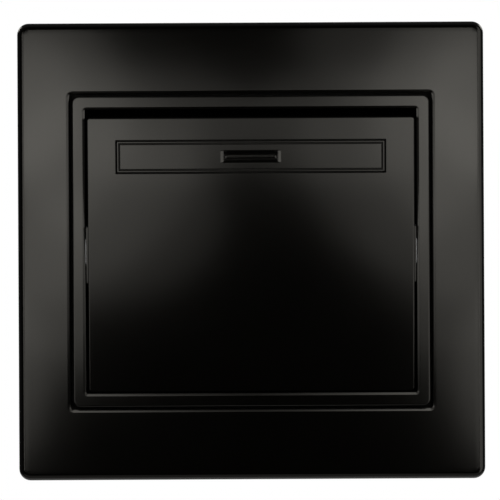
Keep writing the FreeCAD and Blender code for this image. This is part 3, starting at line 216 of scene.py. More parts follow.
# Metal: how much specks and tarnish show, a worn edge's share of the colour and its limit, how much
# of it shows, what tarnish and scratches add to the roughness, and depth and length of scratches
METAL_SPECK_SHOWS = 0.7
METAL_TARNISH_SHOWS = 0.55
METAL_BRIGHT = 1.18
METAL_BRIGHTEST = 0.97
METAL_BRIGHT_SHOWS = 0.7
METAL_DULL_ROUGHER = 0.12
METAL_SCRATCH_ROUGHER = 0.12
METAL_WORN_SMOOTHER = 0.06
METAL_WEAR_REACH = 0.1 * MM
METAL_RELIEF = 0.0006 * MM
SCRATCH_STRETCH = (0.06, 1.0, 1.0)

# Glass and clear plastic: how much haze shows and roughens, and the ripples' depth
CLEAR_HAZE_SHOWS = 0.3
CLEAR_HAZE_ROUGHER = 0.08
CLEAR_RELIEF = 0.002 * MM

# Screws, in millimetres: half their spacing across and up, the head's seat, thread radius and length,
# head radius and height. Upright ones face up or down, the others forward.
SCREWS = {
    "cover_screws": {"x": 15.2, "y": -3.0, "z": 8.0, "upright": False,
                     "radius": 1.1, "length": 10.5, "head_radius": 2.1, "head_height": 1.35},
    "terminal_screws": {"x": 13.6, "y": 16.0, "z": 17.5, "upright": True,
                        "radius": 1.5, "length": 2.4, "head_radius": 2.4, "head_height": 2.4},
    "claw_screws": {"x": 23.4, "y": -1.0, "z": 0, "upright": False,
                    "radius": 1.5, "length": 19.2, "head_radius": 2.7, "head_height": 1.8},
}
DRIVER_SLOT = 0.6 * MM
SCREW_PITCH = 0.6 * MM
# A head's steps as shares of its height, each with how much it narrows the rim
HEAD_STEPS = ((0.62, 1.0), (0.2, 0.975), (0.12, 0.94), (0.06, 0.9))
HEAD_SIDES = 40
SHANK_SIDES = 28
THREAD_STEPS = 22
# The driver slot's length as a share of the head's radius, its cutter's depth as one of its height
DRIVER_SLOT_ACROSS = 2.4
DRIVER_SLOT_DEEP = 0.9
# Core and thread ridge as shares of the thread's radius, the thread's length and end as ones of the
# screw's length
SHANK_CORE = 0.84
THREAD_RIDGE = 0.16
THREADED = 0.88
THREAD_END = 0.98

# Camera and stage
IMAGE_PIXELS = 500
PIXEL = 0.1735 * MM
CAMERA_DISTANCE = 0.62
OBJECT_CENTRE_PX = (251.2, 250.9)
PHOTO_ROLL = math.radians(0.3)
SENSOR = 36.0
CAMERA_CLIP = (0.01, 20.0)
LAMP_Y = -0.1
LAMP_COLOUR = (1.0, 0.965, 0.88)
# Lamps square to the switch, in millimetres: place across and up, width and height, then brightness
PAIRED_LAMPS = {
    "side_lamp": (40, 10, 60, 60, 0.4),
    "side_lamp_core": (40, 20, 32, 60, 0.65),
    "side_lamp_top": (50, 30, 32, 32, 0.95),
    "side_lamp_inner": (20, 18, 56, 36, 0.55),
    "side_lamp_outer": (50, 0, 60, 60, 0.2),
    "side_lamp_foot": (52, -25, 22, 38, 0.9),
    "rim_lamp": (86, 5, 30, 120, 1.5),
}
SINGLE_LAMPS = {
    "left_low_lamp": (-30, -6, 48, 36, 0.36),
    "right_top_lamp": (30, 44, 40, 28, 0.3),
}
# Lamps aimed at the switch, in metres: place, width and height, then brightness
FILL = ((0.7, -0.9, 0.55), (0.7, 0.7), 3.0)
BACK_LAMP = ((0.8, 0.6, 0.55), (0.5, 0.5), 4.0)
RIGHT_RIM_LAMP = ((0.2, -0.13, 0.0), (0.16, 0.4), 0.9)
UNDER_LAMP = ((0.0, -0.07, -0.13), (0.3, 0.1), 0.2)
# The studio round the switch: what is reflected at the sides and what is added above, then the soft
# light from all round and what is added behind
STUDIO_SIDES = 0.04
STUDIO_ABOVE = 0.06
STUDIO_SOFT = 0.1
STUDIO_SOFT_BEHIND = 0.75
FLOOR_GLOW = 0.65
FLOOR_REFLECTED = 0.1
FLOOR_GREYS = (0.62, 0.68)
FLOOR_ROUGHNESS = 0.7
FLOOR_ROUGHER = 0.1
FLOOR_SIDES = 96
FLOOR_Z = -0.6
FLOOR_RADIUS = 1.2
FLOOR_IN_FRONT = 0.1
WHITE = (1, 1, 1, 1)


def linked(name, data):
    """A new object in the scene for a mesh, lamp or camera."""
    obj = bpy.data.objects.new(name, data)
    bpy.context.scene.collection.objects.link(obj)
    return obj


def ring(size, corner, y, centre=(0, 0)):
    """A rounded rectangle at depth y, as points that run once round it."""
    half_x, half_z = size[0] / 2, size[1] / 2
    points = []
    for quarter, (sx, sz) in enumerate(((1, 1), (-1, 1), (-1, -1), (1, -1))):
        middle = Vector((centre[0] + sx * (half_x - corner), y, centre[1] + sz * (half_z - corner)))
        for step in range(CORNER_STEPS + 1):
            angle = math.pi / 2 * (quarter + step / CORNER_STEPS)
            points.append(middle + corner * Vector((math.cos(angle), 0, math.sin(angle))))
    return points


def grown_ring(size, corner, offset, y, centre=(0, 0)):
    """A rounded rectangle set outwards by an offset, or inwards where it is negative."""
    corner = max(corner + offset, LEAST_CORNER)
    return ring((size[0] + 2 * offset, size[1] + 2 * offset), corner, y, centre)


def loft(bm, rings, closed=True):
    """Faces from each ring to the next. A closed loft joins the last ring to the first."""
    loops = [[bm.verts.new(point) for point in points] for points in rings]
    pairs = list(zip(loops, loops[1:] + loops[:1])) if closed else list(zip(loops, loops[1:]))
    for first, second in pairs:
        count = len(first)
        for i in range(count):
            j = (i + 1) % count
            bm.faces.new((first[i], first[j], second[j], second[i]))
    if not closed:
        bm.faces.new(loops[0])
        bm.faces.new(loops[-1])


def block(bm, low, high, bevel=0.0):
    """A box between two corners, with its edges rounded where a bevel is given."""
    low, high = Vector(low), Vector(high)
    made = bmesh.ops.create_cube(bm, size=1.0)["verts"]
    for vert in made:
        vert.co = Vector([low[i] + (vert.co[i] + 0.5) * (high[i] - low[i]) for i in range(3)])
    if bevel:
        edges = {edge for vert in made for edge in vert.link_edges}
        bmesh.ops.bevel(bm, geom=list(edges), offset=bevel, segments=2, profile=0.5, affect="EDGES")


def quarter_round(radius, steps=ROUND_STEPS):
    """Inset and drop of a quarter round, from the side wall to the front face and a little way on."""
    angles = [math.pi / 2 * i / steps for i in range(steps + 1)]
    curve = [(radius * (1 - math.cos(a)), radius * (1 - math.sin(a))) for a in angles]
    return curve + [(radius * (1 + ROUND_HOLD), 0.0)]


def slope(width, depth):
    """Inset and drop of a shallow slope, from its wall to the front face and a little way on."""
    foot = SLOPE_FOOT * width
    bend = SLOPE_FOOT_BREAK * foot
    return [(0.0, depth + foot), (bend, depth + bend), (foot, depth),
            ((1 - SLOPE_EASE) * width, SLOPE_EASE * depth), ((1 + SLOPE_EASE) * width, 0.0),
            ((1 + SLOPE_HOLD) * width, 0.0)]


def baked(obj):
    """The object with its modifiers turned into plain mesh."""
    bpy.context.view_layer.update()
    mesh = bpy.data.meshes.new_from_object(obj.evaluated_get(bpy.context.evaluated_depsgraph_get()))
    obj.modifiers.clear()
    obj.data = mesh
    return obj


def even_normals(obj):
    """Smooth shading where rounds keep their curve and flat faces stay flat right up to them."""
    obj.data.shade_smooth()
    obj.data.set_sharp_from_angle(angle=SHARP_ANGLE)
    weigh = obj.modifiers.new("normals", "WEIGHTED_NORMAL")
    weigh.weight, weigh.keep_sharp = 100, True
    return baked(obj)


def set_matt(obj, chosen):
    """Mark the faces whose middle a test picks out as left matt by the mould."""
    marks = obj.data.attributes.new("matt", "FLOAT", "FACE").data
    for face, mark in zip(obj.data.polygons, marks):
        mark.value = 1.0 if chosen(face.center) else 0.0


def rest_turn():
    """The turn from square to the wall to the rocker's rest pose."""
    return Matrix.Translation(PIVOT) @ Matrix.Rotation(TILT, 4, "X") @ Matrix.Translation(-PIVOT)


def piece(name, bm, turned=False):
    """A finished mesh object from bmesh data, turned to the rocker's rest pose where it needs to be."""
    bmesh.ops.remove_doubles(bm, verts=bm.verts, dist=MERGE)
    bmesh.ops.recalc_face_normals(bm, faces=bm.faces)
    if turned:
        bm.transform(rest_turn())
    mesh = bpy.data.meshes.new(name)
    bm.to_mesh(mesh)
    bm.free()
    return even_normals(linked(name, mesh))


class Nodes:
    """Short calls for building a node tree."""

    def __init__(self, tree):
        self.tree = tree

    def add(self, kind, inputs=None, **settings):
        """A node with its settings, and a value or a link for each input named."""
        node = self.tree.nodes.new(kind)
        for key, value in settings.items():
            setattr(node, key, value)
        for key, value in (inputs or {}).items():
            socket = node.inputs[key]
            if isinstance(value, bpy.types.NodeSocket):
                self.tree.links.new(value, socket)
            else:
                socket.default_value = value
        return node

    def math(self, operation, *values, clamp=False):
        """The result of a maths node."""
        return self.add("ShaderNodeMath", dict(enumerate(values)), operation=operation,
                        use_clamp=clamp).outputs[0]

    def ramp(self, value, low, high):
        """A value mapped smoothly to 0 at low and 1 at high."""
        node = self.add("ShaderNodeMapRange", {"Value": value, "From Min": low, "From Max": high},
                        interpolation_type="SMOOTHSTEP")
        return node.outputs["Result"]

    def mix(self, factor, first, second):
        """Two colours mixed by a factor. A mix node's colours are inputs 6 and 7 and output 2."""
        node = self.add("ShaderNodeMix", data_type="RGBA")
        for number, value in ((0, factor), (6, first), (7, second)):
            socket = node.inputs[number]
            if isinstance(value, bpy.types.NodeSocket):
                self.tree.links.new(value, socket)
            else:
                socket.default_value = value
        return node.outputs[2]

    def noise(self, where, scale, detail=2.0, roughness=0.5):
        """Noise around 0.5 at a scale given in features per metre."""
        return self.add("ShaderNodeTexNoise", {"Vector": where, "Scale": scale, "Detail": detail,
                                               "Roughness": roughness}).outputs["Fac"]

    def link(self, source, target):
        """A link from an output to an input."""
        self.tree.links.new(source, target)


def shader_group(name, inputs, outputs):
    """An empty shader node group with float or vector sockets, and the nodes at its two ends."""
    tree = bpy.data.node_groups.new(name, "ShaderNodeTree")
    for direction, sockets in (("INPUT", inputs), ("OUTPUT", outputs)):
        for label, kind in sockets.items():
            tree.interface.new_socket(label, in_out=direction, socket_type=kind)
    nodes = Nodes(tree)
    return nodes, nodes.add("NodeGroupInput").outputs, nodes.add("NodeGroupOutput").inputs


def grain_group():
    """Moulded grain: two sizes of fine bumps, as a height in metres."""
    nodes, given, result = shader_group(
        "grain", {"Where": "NodeSocketVector", "Size": "NodeSocketFloat", "Height": "NodeSocketFloat"},
        {"Height": "NodeSocketFloat"})
    scale = nodes.math("DIVIDE", 1.0, given["Size"])
    fine = nodes.noise(given["Where"], scale, detail=3.0, roughness=0.6)
    coarse = nodes.noise(given["Where"], nodes.math("MULTIPLY", scale, GRAIN_COARSER), detail=1.0)
    both = nodes.math("ADD", fine, nodes.math("MULTIPLY", coarse, GRAIN_COARSE_HEIGHT))
    nodes.link(nodes.math("MULTIPLY", both, given["Height"]), result["Height"])
    return nodes.tree


def wear_group():
    """Mask that is 1 along worn edges, broken up by noise, and 0 on flat faces."""
    nodes, given, result = shader_group(
        "edge_wear", {"Where": "NodeSocketVector", "Reach": "NodeSocketFloat"},
        {"Mask": "NodeSocketFloat"})
    rounded = nodes.add("ShaderNodeBevel", {"Radius": given["Reach"]}, samples=4).outputs["Normal"]
    plain = nodes.add("ShaderNodeNewGeometry").outputs["Normal"]
    same = nodes.add("ShaderNodeVectorMath", {0: rounded, 1: plain}, operation="DOT_PRODUCT")
    turned = nodes.ramp(nodes.math("SUBTRACT", 1.0, same.outputs["Value"]), low=0.02, high=0.2)
    breaks = nodes.noise(given["Where"], WEAR_BREAKS, detail=4.0, roughness=0.65)
    broken = nodes.ramp(breaks, low=0.38, high=0.62)
    nodes.link(nodes.math("MULTIPLY", turned, broken), result["Mask"])
    return nodes.tree


def dust_group():
    """Mask of fine dust that settles on faces that look up."""
    nodes, given, result = shader_group("dust", {"Where": "NodeSocketVector"},
                                        {"Mask": "NodeSocketFloat"})
    normal = nodes.add("ShaderNodeNewGeometry").outputs["Normal"]
    upward = nodes.add("ShaderNodeSeparateXYZ", {0: normal}).outputs["Z"]
    settled = nodes.ramp(upward, low=0.55, high=1.0)
    flecks = nodes.noise(given["Where"], DUST_FLECKS, detail=3.0, roughness=0.7)
    flecks = nodes.ramp(flecks, low=0.5, high=0.72)
    nodes.link(nodes.math("MULTIPLY", settled, flecks), result["Mask"])
    return nodes.tree


GRAIN = grain_group()
WEAR = wear_group()
DUST = dust_group()


def start_material(name):
    """A material with its nodes, the principled shader and a socket of object coordinates."""
    material = bpy.data.materials.new(name)
    material.use_nodes = True
    nodes = Nodes(material.node_tree)
    shader = next(n for n in nodes.tree.nodes if n.type == "BSDF_PRINCIPLED")
    where = nodes.add("ShaderNodeTexCoord").outputs["Object"]
    return material, nodes, shader, where


def use_group(nodes, group, **inputs):
    """A node group's first output, with its inputs set."""
    node = nodes.add("ShaderNodeGroup", node_tree=group)
    for label, value in inputs.items():
        if isinstance(value, bpy.types.NodeSocket):
            nodes.link(value, node.inputs[label])
        else:
            node.inputs[label].default_value = value
    return node.outputs[0]


def set_bump(nodes, shader, height):
    """Feed a height in metres to the shader's normal."""
    bump = nodes.add("ShaderNodeBump", {"Height": height, "Strength": 1.0, "Distance": 1.0})
    nodes.link(bump.outputs["Normal"], shader.inputs["Normal"])


def grey(value, warmth=0.0):
    """A grey colour, warmer where warmth is above 0."""
    return (value * (1 + warmth), value, value * (1 - 2 * warmth), 1.0)


def shaded(colour, share, most=math.inf):
    """The colour made darker or lighter by a share, up to a limit."""
    return tuple(min(share * channel, most) for channel in colour[:3]) + (1.0,)


def plastic(name, colour, roughness, grain_size=0.09 * MM, grain_height=0.0005 * MM,
            worn=None, dust=0.0):
    """Moulded plastic: grain, slow blotches in gloss, rubbed edges and a little dust."""
    material, nodes, shader, where = start_material(name)
    blotch = nodes.noise(where, PLASTIC_BLOTCHES, detail=3.0, roughness=0.55)
    fleck = nodes.noise(where, PLASTIC_FLECKS)
    wear = use_group(nodes, WEAR, Where=where, Reach=PLASTIC_WEAR_REACH)
    dusty = use_group(nodes, DUST, Where=where)
    shade = nodes.math("MULTIPLY", nodes.math("ADD", blotch, fleck), 0.5)
    base = nodes.mix(nodes.ramp(shade, low=0.3, high=0.7), shaded(colour, PLASTIC_DARK),
                     shaded(colour, PLASTIC_LIGHT, most=1.0))
    rubbed = worn or shaded(colour, PLASTIC_RUBBED)
    base = nodes.mix(nodes.math("MULTIPLY", wear, PLASTIC_RUB_SHOWS), base, rubbed)
    base = nodes.mix(nodes.math("MULTIPLY", dusty, dust), base, DUST_COLOUR)
    nodes.link(base, shader.inputs["Base Color"])
    uneven = nodes.math("SUBTRACT", shade, 0.5)
    rough = nodes.math("MULTIPLY_ADD", uneven, PLASTIC_GLOSS_SPREAD * roughness, roughness)
    rough = nodes.math("MULTIPLY_ADD", wear, -PLASTIC_WORN_SMOOTHER, rough)
    rough = left_matt(nodes, rough)
    rough = nodes.math("MULTIPLY_ADD", dusty, DUST_ROUGHNESS * dust, rough, clamp=True)
    nodes.link(rough, shader.inputs["Roughness"])
    set_bump(nodes, shader, use_group(nodes, GRAIN, Where=where, Size=grain_size, Height=grain_height))
    return material


def metal(name, colour, tarnish, roughness, streak=0.0):
    """Bare or plated metal: cloudy plating, fine scratches, brighter edges and specks of tarnish."""
    material, nodes, shader, where = start_material(name)
    shader.inputs["Metallic"].default_value = 1.0
    cloud = nodes.noise(where, METAL_CLOUDS, detail=4.0, roughness=0.6)
    speck = nodes.noise(where, METAL_SPECKS, detail=3.0, roughness=0.7)
    speck = nodes.ramp(speck, low=0.58, high=0.78)
    stretched = nodes.add("ShaderNodeMapping", {"Vector": where, "Scale": SCRATCH_STRETCH}).outputs[0]
    scratch = nodes.noise(stretched, METAL_SCRATCHES)
    wear = use_group(nodes, WEAR, Where=where, Reach=METAL_WEAR_REACH)
    dull = nodes.math("MAXIMUM", nodes.ramp(cloud, low=0.45, high=0.8),
                      nodes.math("MULTIPLY", speck, METAL_SPECK_SHOWS))
    base = nodes.mix(nodes.math("MULTIPLY", dull, METAL_TARNISH_SHOWS), colour, tarnish)
    bright = shaded(colour, METAL_BRIGHT, most=METAL_BRIGHTEST)
    base = nodes.mix(nodes.math("MULTIPLY", wear, METAL_BRIGHT_SHOWS), base, bright)
    nodes.link(base, shader.inputs["Base Color"])
    uneven = nodes.math("SUBTRACT", scratch, 0.5)
    rough = nodes.math("MULTIPLY_ADD", dull, METAL_DULL_ROUGHER, roughness)
    rough = nodes.math("MULTIPLY_ADD", uneven, METAL_SCRATCH_ROUGHER, rough)
    rough = nodes.math("MULTIPLY_ADD", wear, -METAL_WORN_SMOOTHER, rough, clamp=True)
    nodes.link(rough, shader.inputs["Roughness"])
    height = nodes.math("MULTIPLY_ADD", scratch, streak, cloud)
    set_bump(nodes, shader, nodes.math("MULTIPLY", height, METAL_RELIEF))
    return material


def left_matt(nodes, rough):
    """The roughness, raised on the faces that the mould left matt."""
    matt = nodes.add("ShaderNodeAttribute", attribute_name="matt").outputs["Fac"]
    return nodes.math("MULTIPLY_ADD", matt, MATT_ROUGHNESS, rough)


def clear(name, colour, roughness, transmission, cloudy):
    """Glass or clear plastic with faint moulding ripples and a little haze."""
    material, nodes, shader, where = start_material(name)
    ripple = nodes.noise(where, CLEAR_RIPPLES)
    haze = nodes.noise(where, CLEAR_HAZE, detail=3.0, roughness=0.6)
    haze = nodes.ramp(haze, low=0.45, high=0.75)
    base = nodes.mix(nodes.math("MULTIPLY", haze, CLEAR_HAZE_SHOWS), colour, cloudy)
    nodes.link(base, shader.inputs["Base Color"])
    rough = left_matt(nodes, nodes.math("MULTIPLY_ADD", haze, CLEAR_HAZE_ROUGHER, roughness))
    nodes.link(rough, shader.inputs["Roughness"])
    shader.inputs["Transmission Weight"].default_value = transmission
    set_bump(nodes, shader, nodes.math("MULTIPLY", ripple, CLEAR_RELIEF))
    return material


MATERIALS = {
    "satin_black": plastic("satin_black_plastic", grey(0.0008, 0.08), 0.16,
                           worn=grey(0.006, 0.05), dust=0.02),
    "smoked_lens": clear("smoked_clear_plastic", grey(0.003, 0.05), 0.12, 0.55, grey(0.01)),
    "zinc_steel": metal("zinc_plated_steel", (0.58, 0.6, 0.62, 1), (0.36, 0.36, 0.34, 1), 0.3, 0.4),
    "spring_steel": metal("spring_steel", (0.5, 0.5, 0.51, 1), (0.3, 0.28, 0.26, 1), 0.26, 0.2),
    "ivory_plastic": plastic("ivory_plastic", (0.7, 0.66, 0.55, 1), 0.42,
                             0.16 * MM, 0.0018 * MM, dust=0.15),
    "grey_plastic": plastic("grey_plastic", (0.2, 0.21, 0.22, 1), 0.45,
                            0.14 * MM, 0.0014 * MM, dust=0.1),
    "white_plastic": plastic("white_plastic", (0.74, 0.74, 0.72, 1), 0.38,
                             0.14 * MM, 0.001 * MM, dust=0.1),
    "copper": metal("copper_strip", (0.76, 0.4, 0.25, 1), (0.4, 0.2, 0.13, 1), 0.26, 0.5),
    "silver": metal("contact_silver", (0.83, 0.82, 0.79, 1), (0.5, 0.46, 0.4, 1), 0.22),
    "brass": metal("brass", (0.75, 0.57, 0.28, 1), (0.45, 0.32, 0.16, 1), 0.28, 0.3),
    "lamp_glass": clear("lamp_glass", grey(0.95), 0.03, 1.0, grey(0.85)),
    "tinned_wire": metal("tinned_wire", (0.68, 0.68, 0.67, 1), (0.42, 0.41, 0.39, 1), 0.24, 0.3),
}


def outer_frame():
    """Decor frame: flat face, rounded rim, an opening with sloped edges, a ledge and a hollow back."""
    bm = bmesh.new()
    rings = [ring(FRAME, FRAME_CORNER, 0.0)]
    for inset, drop in quarter_round(FRAME_ROUND, FRAME_ROUND_STEPS):
        rings.append(grown_ring(FRAME, FRAME_CORNER, -inset, FRAME_FRONT + drop))
    for inset, drop in reversed(slope(*OPENING_SLOPE)):
        rings.append(grown_ring(OPENING, OPENING_CORNER, inset, FRAME_FRONT + drop))
    for offset, y in ((0, LEDGE_FRONT), (-LEDGE_REACH, LEDGE_FRONT), (-LEDGE_REACH, LEDGE_BACK),
                      (0, LEDGE_BACK), (0, LIP_BACK), (LIP, LIP_BACK), (LIP, FRAME_BACK)):
        rings.append(grown_ring(OPENING, OPENING_CORNER, offset, y))
    for y in (FRAME_BACK, 0.0):
        rings.append(grown_ring(FRAME, FRAME_WALL + FRAME_HOLLOW_CORNER, -FRAME_WALL, y))
    loft(bm, rings)
    shell = piece("decor_frame_shell", bm)
    half_x, half_z = OPENING[0] / 2 + TINY_ROUND, OPENING[1] / 2 + TINY_ROUND
    set_matt(shell, lambda c: c.y > GROOVE_MATT_FROM and abs(c.x) < half_x and abs(c.z) < half_z)
    return shell


def rib_points():
    """Middle and size of each rib behind the frame's face, between its rim and its inner lip."""
    front = FRAME_BACK - INTO
    middle_y, depth = (front + RIB_BACK) / 2, RIB_BACK - front
    inner = [length / 2 + LIP / 2 for length in OPENING]
    outer = [length / 2 - FRAME_WALL / 2 for length in FRAME]
    found = []
    for sign in (-1, 1):
        middle = [sign * (inner[i] + outer[i]) / 2 for i in range(2)]
        span = [outer[i] - inner[i] for i in range(2)]
        for step in RIB_STEPS_X:
            found.append(((step * RIB_PITCH_X, middle_y, middle[1]), (RIB_WIDTH, depth, span[1])))
        for step in RIB_STEPS_Z:
            found.append(((middle[0], middle_y, step * RIB_PITCH_Z), (span[0], depth, RIB_WIDTH)))
    return found


def tree_group(name, inputs):
    """An empty geometry node group with a geometry at both ends and the named inputs."""
    tree = bpy.data.node_groups.new(name, "GeometryNodeTree")
    tree.interface.new_socket("Geometry", in_out="INPUT", socket_type="NodeSocketGeometry")
    for label, kind in inputs.items():
        tree.interface.new_socket(label, in_out="INPUT", socket_type=kind)
    tree.interface.new_socket("Geometry", in_out="OUTPUT", socket_type="NodeSocketGeometry")
    nodes = Nodes(tree)
    return nodes, nodes.add("NodeGroupInput").outputs, nodes.add("NodeGroupOutput").inputs[0]


def finish_tree(nodes, instances, material, result):
    """Realize the instances and give them their material."""
    real = nodes.add("GeometryNodeRealizeInstances", {0: instances}).outputs[0]
    smoothed = nodes.add("GeometryNodeSetShadeSmooth", {"Geometry": real, "Shade Smooth": True})
    done = nodes.add("GeometryNodeSetMaterial", {"Geometry": smoothed.outputs[0], "Material": material})
    nodes.link(done.outputs[0], result)


def named(nodes, name):
    """The value of a point's vector attribute."""
    return nodes.add("GeometryNodeInputNamedAttribute", {"Name": name},
                     data_type="FLOAT_VECTOR").outputs[0]


def ribs_tree():
    """A block on each point, as large as the point's size says."""
    nodes, given, result = tree_group("blocks_on_points", {"Material": "NodeSocketMaterial"})
    cube = nodes.add("GeometryNodeMeshCube", {"Size": (1.0, 1.0, 1.0)}).outputs["Mesh"]
    points = nodes.add("GeometryNodeMeshToPoints", {0: given["Geometry"]}).outputs[0]
    placed = nodes.add("GeometryNodeInstanceOnPoints",
                       {"Points": points, "Instance": cube, "Scale": named(nodes, "size")}).outputs[0]
    finish_tree(nodes, placed, given["Material"], result)
    return nodes.tree


def lathe(nodes, steps, radius):
    """A round head grown upwards from a disc: each step raises it and narrows its rim."""
    mesh = nodes.add("GeometryNodeMeshCircle", {"Vertices": HEAD_SIDES, "Radius": radius},
                     fill_type="NGON").outputs[0]
    faces = None
    for height, share in steps:
        raised = nodes.add("GeometryNodeExtrudeMesh", {"Mesh": mesh, "Offset": (0, 0, 1),
                                                       "Offset Scale": height})
        if faces is not None:
            nodes.link(faces, raised.inputs["Selection"])
        mesh, faces = raised.outputs["Mesh"], raised.outputs["Top"]
        mesh = nodes.add("GeometryNodeScaleElements", {"Geometry": mesh, "Selection": faces,
                                                       "Scale": share}).outputs[0]
    return mesh


def screws_tree():
    """A slotted screw on each point: head with rounded rim and driver slot, shank and rolled thread."""
    kinds = dict.fromkeys(("Radius", "Length", "Head Radius", "Head Height", "Slot", "Pitch"),
                          "NodeSocketFloat")
    nodes, given, result = tree_group("slotted_screws", {**kinds, "Material": "NodeSocketMaterial"})
    height = given["Head Height"]
    steps = [(nodes.math("MULTIPLY", height, share), narrow) for share, narrow in HEAD_STEPS]
    head = lathe(nodes, steps, given["Head Radius"])
    across = nodes.math("MULTIPLY", given["Head Radius"], DRIVER_SLOT_ACROSS)
    deep = nodes.math("MULTIPLY", height, DRIVER_SLOT_DEEP)
    slot_size = nodes.add("ShaderNodeCombineXYZ", {"X": across, "Y": given["Slot"], "Z": deep})
    cutter = nodes.add("GeometryNodeMeshCube", {"Size": slot_size.outputs[0]}).outputs["Mesh"]
    lifted = nodes.add("ShaderNodeCombineXYZ", {"Z": height}).outputs[0]
    cutter = nodes.add("GeometryNodeTransform", {"Geometry": cutter, "Translation": lifted}).outputs[0]
    cut = nodes.add("GeometryNodeMeshBoolean", {"Mesh 1": head, "Mesh 2": cutter},
                    operation="DIFFERENCE")
    core = nodes.math("MULTIPLY", given["Radius"], SHANK_CORE)
    shank = nodes.add("GeometryNodeMeshCylinder", {"Vertices": SHANK_SIDES, "Radius": core,
                                                   "Depth": given["Length"]})
    half = nodes.math("MULTIPLY", given["Length"], -0.5)
    down = nodes.add("ShaderNodeCombineXYZ", {"Z": half}).outputs[0]
    shank = nodes.add("GeometryNodeTransform", {"Geometry": shank.outputs["Mesh"], "Translation": down})
    reach = nodes.math("MULTIPLY", given["Length"], THREADED)
    turns = nodes.math("DIVIDE", reach, given["Pitch"])
    ridge = nodes.math("MULTIPLY", given["Radius"], THREAD_RIDGE)
    crest = nodes.math("SUBTRACT", given["Radius"], ridge)
    helix = nodes.add("GeometryNodeCurveSpiral", {"Resolution": THREAD_STEPS, "Rotations": turns,
                                                  "Start Radius": crest, "End Radius": crest,
                                                  "Height": reach}).outputs[0]
    section = nodes.add("GeometryNodeCurvePrimitiveCircle", {"Resolution": 4, "Radius": ridge},
                        mode="RADIUS").outputs[0]
    thread = nodes.add("GeometryNodeCurveToMesh", {"Curve": helix, "Profile Curve": section,
                                                   "Fill Caps": True}).outputs[0]
    low = nodes.math("MULTIPLY", given["Length"], -THREAD_END)
    end = nodes.add("ShaderNodeCombineXYZ", {"Z": low}).outputs[0]
    thread = nodes.add("GeometryNodeTransform", {"Geometry": thread, "Translation": end}).outputs[0]
    whole = nodes.add("GeometryNodeJoinGeometry")
    for part in (thread, shank.outputs[0], cut.outputs[0]):
        nodes.link(part, whole.inputs[0])
    points = nodes.add("GeometryNodeMeshToPoints", {0: given["Geometry"]}).outputs[0]
    turn = nodes.add("FunctionNodeAlignRotationToVector", {"Vector": named(nodes, "outward")}, axis="Z")
    placed = nodes.add("GeometryNodeInstanceOnPoints", {"Points": points, "Instance": whole.outputs[0],
                                                        "Rotation": turn.outputs[0]}).outputs[0]
    finish_tree(nodes, placed, given["Material"], result)
    return nodes.tree


def grown(name, tree, points, attribute, values, **inputs):
    """An object grown by a geometry node tree on points that carry a vector attribute."""
    mesh = bpy.data.meshes.new(name)
    mesh.from_pydata(points, [], [])
    data = mesh.attributes.new(attribute, "FLOAT_VECTOR", "POINT").data
    for item, value in zip(data, values):
        item.vector = value
    obj = linked(name, mesh)
    modifier = obj.modifiers.new("grow", "NODES")
    modifier.node_group = tree
    for item in tree.interface.items_tree:
        label = item.name.lower().replace(" ", "_")
        if item.in_out == "INPUT" and label in inputs:
            modifier[item.identifier] = inputs[label]
    baked(obj)
    return even_normals(obj)


def inner_bezel():
    """Bezel band with rounded edges on a thinner wall, notched at the sides, with four clip noses."""
    bm = bmesh.new()
    rings = [ring(BEZEL, BEZEL_CORNER, BEZEL_BAND_BACK)]
    for inset, drop in quarter_round(BEZEL_OUTER_ROUND):
        rings.append(grown_ring(BEZEL, BEZEL_CORNER, -inset, BEZEL_FRONT + drop))
    for inset, drop in reversed(slope(*BEZEL_SLOPE)):
        rings.append(grown_ring(BEZEL_HOLE, BEZEL_HOLE_CORNER, inset, BEZEL_FRONT + drop))
    rings.append(ring(BEZEL_HOLE, BEZEL_HOLE_CORNER, SCREEN_FRONT))
    for y in (SCREEN_FRONT, BEZEL_BACK):
        rings.append(grown_ring(BEZEL_HOLE, BEZEL_HOLE_CORNER, -SCREEN_REACH, y))
    for y in (BEZEL_BACK, BEZEL_BAND_BACK):
        rings.append(grown_ring(BEZEL_HOLE, BEZEL_HOLE_CORNER, BEZEL_WALL, y))
    loft(bm, rings)
    shell = piece("bezel_shell", bm)
    bm = bmesh.new()
    wall_x = BEZEL_HOLE[0] / 2 + BEZEL_WALL
    for sign in (-1, 1):
        low, high = sorted((sign * (wall_x - BEZEL_WALL - SCREEN_REACH - PAST), sign * (wall_x + PAST)))
        block(bm, (low, NOTCH_FRONT, -NOTCH_HALF), (high, PAST, NOTCH_HALF))
    cutter = piece("notches", bm)
    cut = shell.modifiers.new("notches", "BOOLEAN")
    cut.object, cut.operation, cut.solver = cutter, "DIFFERENCE", "EXACT"
    baked(shell)
    bpy.data.objects.remove(cutter)
    bm = bmesh.new()
    bm.from_mesh(shell.data)
    for sign in (-1, 1):
        for z in (-CLIP_Z, CLIP_Z):
            clip_nose(bm, sign, wall_x, z)
    bm.to_mesh(shell.data)
    bm.free()
    return even_normals(shell)


def clip_nose(bm, sign, wall_x, z):
    """Wedge on the bezel's side wall that snaps into a window of the support plate."""
    root, tip, half = wall_x - CLIP_ROOT, wall_x + CLIP_REACH, CLIP_HALF
    profile = [(root, CLIP_FRONT), (tip, CLIP_FRONT), (tip, CLIP_FRONT + CLIP_FLAT), (root, CLIP_BACK)]
    ends = [[bm.verts.new((sign * x, y, z + end)) for x, y in profile] for end in (-half, half)]
    faces = [bm.faces.new(end) for end in ends]
    for i in range(4):
        j = (i + 1) % 4
        faces.append(bm.faces.new((ends[0][i], ends[0][j], ends[1][j], ends[1][i])))
    bmesh.ops.recalc_face_normals(bm, faces=faces)


